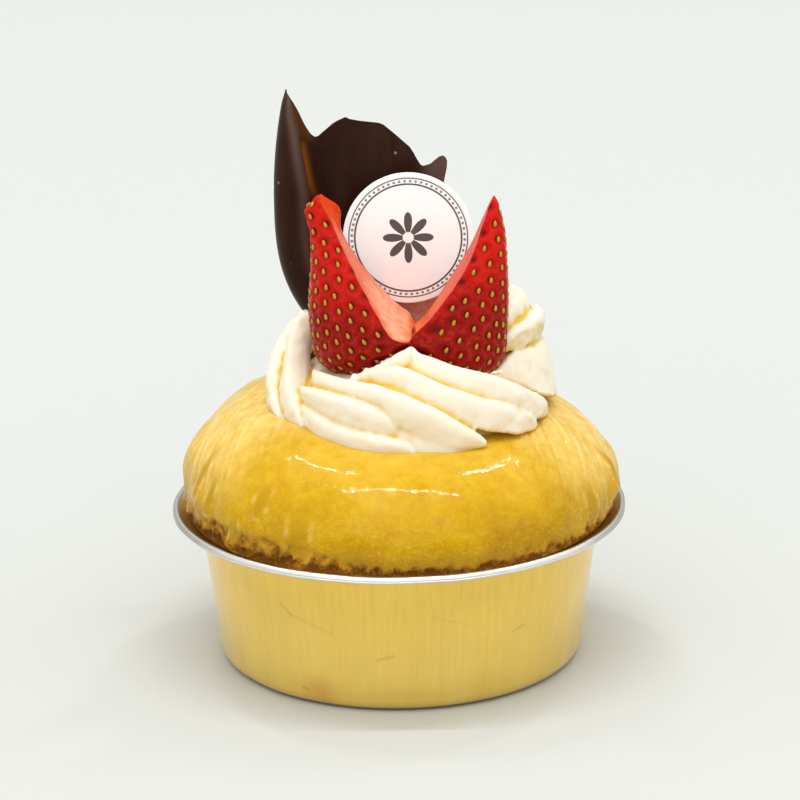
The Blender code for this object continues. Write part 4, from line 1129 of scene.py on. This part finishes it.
def curled(along, height, radius):
    """Place of a point of the flat sheet once it is curled round the bend."""
    quarter = 0.5 * math.pi * radius
    if abs(along) < quarter:
        x = -radius * math.cos(along / radius)
        y = radius * math.sin(along / radius)
    else:
        x = abs(along) - quarter
        y = math.copysign(radius, along)
    away = height - SHARD_WAIST
    if away > 0.0:
        x += SHARD_TOP_DRAW[0] * (away / SHARD_TOP_DRAW[1]) ** 2
    else:
        x += SHARD_FOOT_DRAW[0] * (-away / SHARD_FOOT_DRAW[1]) ** 3
    up = height - SHARD_BEND_PLACE.z
    return SHARD_BEND_PLACE + Vector((x, y + SHARD_LEAN * up, up))


def tempered_chocolate(sizes):
    """Tempered dark chocolate spread thin: satin, nearly black brown, with faint spreading marks and dust."""
    made, tree, shader, coords = surface("tempered_dark_chocolate", Roughness=0.36, Specular_IOR_Level=0.1)
    stretch = add_node(tree, "ShaderNodeMapping", {0: coords, 3: (1.0, 1.0, 0.16)})
    drag = add_node(tree, "ShaderNodeTexNoise",
                    {"Vector": stretch.outputs[0], "Scale": per_metre(2.6), "Detail": 4.0})
    cloud = add_node(tree, "ShaderNodeTexNoise", {"Vector": coords, "Scale": per_metre(8.0), "Detail": 3.0})
    both = add_node(tree, "ShaderNodeMath", {0: drag.outputs[0], 1: cloud.outputs[0]}, operation="MULTIPLY")
    dull = add_node(tree, "ShaderNodeMapRange", {0: both.outputs[0], 1: 0.16, 2: 0.42, 3: 0.0, 4: 0.55})
    tone = add_node(tree, "ShaderNodeMix",
                    {0: dull.outputs[0], 6: full(sizes.chocolate), 7: full(sizes.bloom)},
                    data_type="RGBA")
    # Painted highlight down the flap and on the right prong, where some bloom shows too; painted amber glow and
    # reflection on the rear sheet.
    painted_sheen_and_bloom = add_node(tree, "ShaderNodeAttribute", attribute_name="painted_sheen_and_bloom").outputs["Fac"]
    thin = add_node(tree, "ShaderNodeAttribute", attribute_name="thin").outputs["Fac"]
    sheened = add_node(tree, "ShaderNodeMix", {0: painted_sheen_and_bloom, 6: tone.outputs[2], 7: full(colour("5E463C"))},
                      data_type="RGBA")
    amber = add_node(tree, "ShaderNodeMix", {0: thin, 6: sheened.outputs[2], 7: full(colour("9A5816"))},
                     data_type="RGBA")
    specks = add_node(tree, "ShaderNodeTexVoronoi", {"Vector": coords, "Scale": per_metre(4.5)})
    dust = add_node(tree, "ShaderNodeMapRange",
                    {0: specks.outputs["Distance"], 1: 0.05, 2: 0.075, 3: 1.0, 4: 0.0})
    dusted = add_node(tree, "ShaderNodeMix",
                      {0: dust.outputs[0], 6: amber.outputs[2], 7: full(colour("8E7A70"))},
                      data_type="RGBA")
    tree.links.new(dusted.outputs[2], shader.inputs["Base Color"])
    rough = add_node(tree, "ShaderNodeMapRange", {0: both.outputs[0], 1: 0.1, 2: 0.45, 3: 0.3, 4: 0.5})
    tree.links.new(rough.outputs[0], shader.inputs["Roughness"])
    bump = add_node(tree, "ShaderNodeBump", {"Strength": 0.15, "Distance": 0.0003, "Height": drag.outputs[0]})
    tree.links.new(bump.outputs[0], shader.inputs["Normal"])
    return made


class BABA_OT_curl_chocolate(bpy.types.Operator):
    """Curl the thin sheet of dark chocolate"""
    bl_idname = "baba.curl_chocolate"
    bl_label = "Curl chocolate"

    def execute(self, context):
        sizes = context.scene.baba_shard
        shape = bmesh.new()
        bmesh.ops.create_grid(shape, x_segments=150, y_segments=60, size=0.5)
        edge_layer = shape.verts.layers.deform.verify()
        start, end = SHARD_TOP_EDGE[0][0], SHARD_TOP_EDGE[-1][0]
        painted_sheen_and_bloom, thin = [], []
        for vert in shape.verts:
            along = start + (end - start) * (vert.co.x + 0.5)
            foot = from_table(SHARD_FOOT_EDGE, along) * MM
            top = from_table(SHARD_TOP_EDGE, along) * MM
            height = foot + (top - foot) * (vert.co.y + 0.5)
            place = curled(along * MM, height, sizes.bend_radius)
            vert.co = place + Vector((0.0, ripple(place, 13.0, 1.0) * 0.35 * MM, 0.0))
            level = height / MM
            # Painted highlight streak down the flap; the right prong is painted lighter for its highlight and some
            # bloom.
            flap = math.exp(-((along - from_table(FLAP_HIGHLIGHT, level)) / 0.95) ** 2)
            flap *= 0.5 + 0.5 * smoothstep(84.0, 100.0, level)
            painted_sheen_and_bloom.append(max(flap * smoothstep(66.0, 76.0, level), smoothstep(29.5, 33.0, along)))
            # Painted amber glow where light shines through the thin place, and painted amber reflection near the top
            # of the rear sheet.
            glow = math.exp(-((along - from_table(GLOW_PLACE, level)) / 0.75) ** 2)
            glow *= smoothstep(84.0, 91.0, level) * (1.0 - smoothstep(96.0, 98.5, level))
            upper = smoothstep(3.0, 5.0, along) * (1.0 - smoothstep(8.0, 11.0, along))
            thin.append(max(glow, 0.28 * smoothstep(96.0, 99.0, level) * upper))
            vert[edge_layer][0] = 0.4 + 0.6 * smoothstep(0.0, 3.0, (top - height) / MM)
        store(shape, "painted_sheen_and_bloom", painted_sheen_and_bloom)
        store(shape, "thin", thin)
        bmesh.ops.recalc_face_normals(shape, faces=shape.faces)
        shard = piece_from("curled_chocolate", shape, [tempered_chocolate(sizes)], "dark_chocolate",
                           "chocolate_shard", sharp=40.0)
        shard.vertex_groups.new(name="full_thickness")
        wall = shard.modifiers.new("thickness", "SOLIDIFY")
        wall.vertex_group = "full_thickness"
        wall.thickness = sizes.thickness
        wall.offset = 0.0
        edge = shard.modifiers.new("edge", "BEVEL")
        edge.width = 0.2 * MM
        edge.segments = 2
        edge.limit_method = "ANGLE"
        edge.angle_limit = math.radians(50.0)
        return {"FINISHED"}


# Plaque

PLAQUE_CENTRE = Vector((2.5, 10.1, 80.1)) * MM
PLAQUE_LEAN = math.radians(17.8)
PLAQUE_SEGMENTS = 160
# Printed rings: radius and line width (mm)
RINGS = ((11.45, 0.16), (10.3, 0.26))
# Ring of beads: radius, how many, radius of a bead (mm)
BEAD_RING = (10.88, 64, 0.26)
PETAL_REACH = 4.9
# Round the edge and on the back the print is this much smaller, out of sight at the middle of the back
PRINT_SHRINK = 5.0


def printed_sugar(sizes):
    """Smooth sugar paste printed with edible ink: thin rings, a row of beads and a petal ornament."""
    made, tree, shader, _ = surface("printed_sugar_paste", Roughness=0.42, Subsurface_Weight=0.15,
                                    Subsurface_Scale=0.001, Coat_Weight=0.1, Coat_Roughness=0.3)
    uv = add_node(tree, "ShaderNodeUVMap", uv_map="face").outputs[0]
    apart = add_node(tree, "ShaderNodeSeparateXYZ", {0: uv})
    radius = add_node(tree, "ShaderNodeVectorMath", {0: uv}, operation="LENGTH").outputs["Value"]
    turn = add_node(tree, "ShaderNodeMath", {0: apart.outputs[1], 1: apart.outputs[0]},
                    operation="ARCTAN2").outputs[0]
    marks = []
    for at, width in RINGS:
        away = add_node(tree, "ShaderNodeMath", {0: radius, 1: at}, operation="SUBTRACT")
        near = add_node(tree, "ShaderNodeMath", {0: away.outputs[0]}, operation="ABSOLUTE")
        marks.append(add_node(tree, "ShaderNodeMapRange",
                              {0: near.outputs[0], 1: 0.5 * width, 2: 0.5 * width + 0.08,
                                                           3: 1.0, 4: 0.0}).outputs[0])
    at, count, size = BEAD_RING
    wheel = add_node(tree, "ShaderNodeMath", {0: turn, 1: count / math.tau}, operation="MULTIPLY")
    part = add_node(tree, "ShaderNodeMath", {0: wheel.outputs[0], 1: 1.0}, operation="FLOORED_MODULO")
    across = add_node(tree, "ShaderNodeMath", {0: part.outputs[0], 1: 0.5}, operation="SUBTRACT")
    across = add_node(tree, "ShaderNodeMath", {0: across.outputs[0], 1: math.tau * at / count},
                      operation="MULTIPLY")
    outward = add_node(tree, "ShaderNodeMath", {0: radius, 1: at}, operation="SUBTRACT")
    spot = add_node(tree, "ShaderNodeCombineXYZ", {0: across.outputs[0], 1: outward.outputs[0]})
    away = add_node(tree, "ShaderNodeVectorMath", {0: spot.outputs[0]}, operation="LENGTH").outputs["Value"]
    marks.append(add_node(tree, "ShaderNodeMapRange",
                          {0: away, 1: size - 0.06, 2: size + 0.06, 3: 0.85, 4: 0.0}).outputs[0])
    four = add_node(tree, "ShaderNodeMath", {0: turn, 1: 4.0}, operation="MULTIPLY")
    wave = add_node(tree, "ShaderNodeMath", {0: four.outputs[0]}, operation="COSINE")
    petal = add_node(tree, "ShaderNodeMath", {0: wave.outputs[0]}, operation="ABSOLUTE")
    reach = add_node(tree, "ShaderNodeMath", {0: petal.outputs[0], 1: 0.7}, operation="POWER")
    reach = add_node(tree, "ShaderNodeMath", {0: reach.outputs[0], 1: PETAL_REACH}, operation="MULTIPLY")
    inside = add_node(tree, "ShaderNodeMath", {0: reach.outputs[0], 1: radius}, operation="SUBTRACT")
    shown = add_node(tree, "ShaderNodeMapRange", {0: inside.outputs[0], 1: -0.05, 2: 0.05, 3: 0.0, 4: 1.0})
    eye = add_node(tree, "ShaderNodeMapRange", {0: radius, 1: 1.0, 2: 1.12, 3: 0.0, 4: 1.0})
    marks.append(add_node(tree, "ShaderNodeMath", {0: shown.outputs[0], 1: eye.outputs[0]},
                          operation="MULTIPLY").outputs[0])
    printed = marks[0]
    for mark in marks[1:]:
        printed = add_node(tree, "ShaderNodeMath", {0: printed, 1: mark}, operation="MAXIMUM").outputs[0]
    tone = add_node(tree, "ShaderNodeMix", {0: printed, 6: full(sizes.sugar), 7: full(sizes.ink)},
                    data_type="RGBA")
    tree.links.new(tone.outputs[2], shader.inputs["Base Color"])
    return made


class BABA_OT_make_plaque(bpy.types.Operator):
    """Make the round plaque"""
    bl_idname = "baba.make_plaque"
    bl_label = "Make plaque"

    def execute(self, context):
        sizes = context.scene.baba_plaque
        shape = bmesh.new()
        bmesh.ops.create_cone(shape, cap_ends=True, segments=PLAQUE_SEGMENTS, radius1=sizes.radius,
                              radius2=sizes.radius, depth=sizes.thickness)
        rims = [edge for edge in shape.edges if abs(edge.verts[0].co.z - edge.verts[1].co.z) < 0.01 * MM]
        bmesh.ops.bevel(shape, geom=rims, offset=0.18 * MM, affect="EDGES", segments=3, profile=0.5,
                        material=-1)
        face_map = shape.loops.layers.uv.new("face")
        for face in shape.faces:
            spread = 1.0 if face.normal.z > 0.5 else PRINT_SHRINK
            for loop in face.loops:
                loop[face_map].uv = (loop.vert.co.x / MM * spread, loop.vert.co.y / MM * spread)
        turn = Matrix.Rotation(0.5 * math.pi - PLAQUE_LEAN, 4, "X")
        bmesh.ops.transform(shape, matrix=Matrix.Translation(PLAQUE_CENTRE) @ turn, verts=shape.verts)
        piece_from("printed_plaque", shape, [printed_sugar(sizes)], "white_plaque", "plaque_disc", sharp=40.0)
        return {"FINISHED"}


# Stage: floor, lights and camera

CAMERA_DISTANCE = 0.7
CAMERA_ELEVATION = math.radians(17.82)
CAMERA_ROLL = math.radians(-0.852)
CAMERA_AIM = Vector((0.449, 0.0, 50.48)) * MM
CAMERA_LENS = 163.41
FLOOR_HALF_WIDTH = 4.0
LIGHT_AIM = Vector((0.0, 0.0, 0.05))
SKY_STRENGTH = 0.34
# Broad soft lights, so far off that they light the floor evenly: name, azimuth from the front,
# elevation, width in degrees, strength
SOFT_LIGHTS = (
    ("left_tent", -72, 42, 80, 0.85),
    ("right_tent", 74, 40, 80, 0.96),
    ("top_tent", -10, 76, 35, 0.38),
    ("front_tent", -4, 38, 60, 0.76),
    ("back_tent", 180, 50, 60, 0.30),
)
# Narrow strips that draw the bright lines in the glaze: name, middle, size across, size up (metres), power
STRIP_LIGHTS = (
    ("overhead_strip", (0.0, -0.06, 2.05), 1.70, 0.045, 13.8),
    ("back_left_strip", (-0.65, 0.87, 2.05), 0.045, 0.52, 4.4),
    ("back_right_strip", (0.90, 1.07, 2.05), 0.045, 0.50, 4.2),
)


def hang(name, kind, place, power, **settings):
    """Hang a lamp at a place, turned to the baba."""
    lamp = bpy.data.lights.new(name, kind)
    lamp.energy = power
    for setting, value in settings.items():
        setattr(lamp, setting, value)
    light = bpy.data.objects.new(name, lamp)
    light.location = place
    light.rotation_euler = (place - LIGHT_AIM).to_track_quat("Z", "Y").to_euler()
    bpy.context.scene.collection.objects.link(light)


class BABA_OT_set_stage(bpy.types.Operator):
    """Lay the floor and set the soft lights and the camera"""
    bl_idname = "baba.set_stage"
    bl_label = "Set stage"

    def execute(self, context):
        settings = context.scene.baba_stage
        shape = bmesh.new()
        bmesh.ops.create_grid(shape, x_segments=1, y_segments=1, size=FLOOR_HALF_WIDTH)
        mesh = bpy.data.meshes.new("studio_floor")
        shape.to_mesh(mesh)
        shape.free()
        paper, _, _, _ = surface("matt_backdrop_paper", Roughness=0.9, Base_Color=full(settings.floor))
        mesh.materials.append(paper)
        floor = bpy.data.objects.new("studio_floor", mesh)
        context.scene.collection.objects.link(floor)
        for name, azimuth, elevation, width, strength in SOFT_LIGHTS:
            turn, lift = math.radians(azimuth), math.radians(elevation)
            level = math.cos(lift)
            toward = Vector((math.sin(turn) * level, -math.cos(turn) * level, math.sin(lift)))
            hang(name, "SUN", LIGHT_AIM + toward, strength, angle=math.radians(width))
        for name, middle, across, up, power in STRIP_LIGHTS:
            hang(name, "AREA", Vector(middle), power, shape="RECTANGLE", size=across, size_y=up)
        world = bpy.data.worlds.new("studio")
        world.use_nodes = True
        sky = world.node_tree.nodes["Background"].inputs
        sky[0].default_value = full(colour("F8F9F6"))
        sky[1].default_value = SKY_STRENGTH
        context.scene.world = world
        self.stand_camera(context)
        return {"FINISHED"}

    def stand_camera(self, context):
        lens = bpy.data.cameras.new("photo_camera")
        lens.sensor_width = 36.0
        lens.lens = CAMERA_LENS
        lens.clip_start = 0.01
        camera = bpy.data.objects.new("photo_camera", lens)
        back = Vector((0.0, -math.cos(CAMERA_ELEVATION), math.sin(CAMERA_ELEVATION)))
        tilt = Matrix.Rotation(0.5 * math.pi - CAMERA_ELEVATION, 4, "X")
        turn = tilt @ Matrix.Rotation(CAMERA_ROLL, 4, "Z")
        camera.matrix_world = Matrix.Translation(CAMERA_AIM + back * CAMERA_DISTANCE) @ turn
        context.scene.collection.objects.link(camera)
        context.scene.camera = camera
        context.scene.view_settings.view_transform = "Standard"


class BABA_PT_panel(bpy.types.Panel):
    bl_label = "Rum baba"
    bl_idname = "BABA_PT_panel"
    bl_space_type = "VIEW_3D"
    bl_region_type = "UI"
    bl_category = "Baba"

    def draw(self, context):
        for operator, group, _ in PARTS:
            box = self.layout.box()
            box.operator(operator.bl_idname)
            settings = getattr(context.scene, group)
            for name in settings.bl_rna.properties.keys():
                if name not in ("rna_type", "name"):
                    box.prop(settings, name)


PARTS = (
    (BABA_OT_make_cup, "baba_cup", CupSettings),
    (BABA_OT_make_cake, "baba_cake", CakeSettings),
    (BABA_OT_pipe_cream, "baba_cream", CreamSettings),
    (BABA_OT_cut_strawberries, "baba_berry", BerrySettings),
    (BABA_OT_curl_chocolate, "baba_shard", ShardSettings),
    (BABA_OT_make_plaque, "baba_plaque", PlaqueSettings),
    (BABA_OT_set_stage, "baba_stage", StageSettings),
)


def register():
    for operator, name, group in PARTS:
        bpy.utils.register_class(group)
        setattr(bpy.types.Scene, name, PointerProperty(type=group))
        bpy.utils.register_class(operator)
    bpy.utils.register_class(BABA_PT_panel)


def unregister():
    bpy.utils.unregister_class(BABA_PT_panel)
    for operator, name, group in reversed(PARTS):
        bpy.utils.unregister_class(operator)
        delattr(bpy.types.Scene, name)
        bpy.utils.unregister_class(group)


def main():
    register()
    bpy.ops.baba.make_cup()
    bpy.ops.baba.make_cake()
    bpy.ops.baba.pipe_cream()
    bpy.ops.baba.cut_strawberries()
    bpy.ops.baba.curl_chocolate()
    bpy.ops.baba.make_plaque()
    bpy.ops.baba.set_stage()
    bpy.context.view_layer.update()


if __name__ == "__main__":
    main()
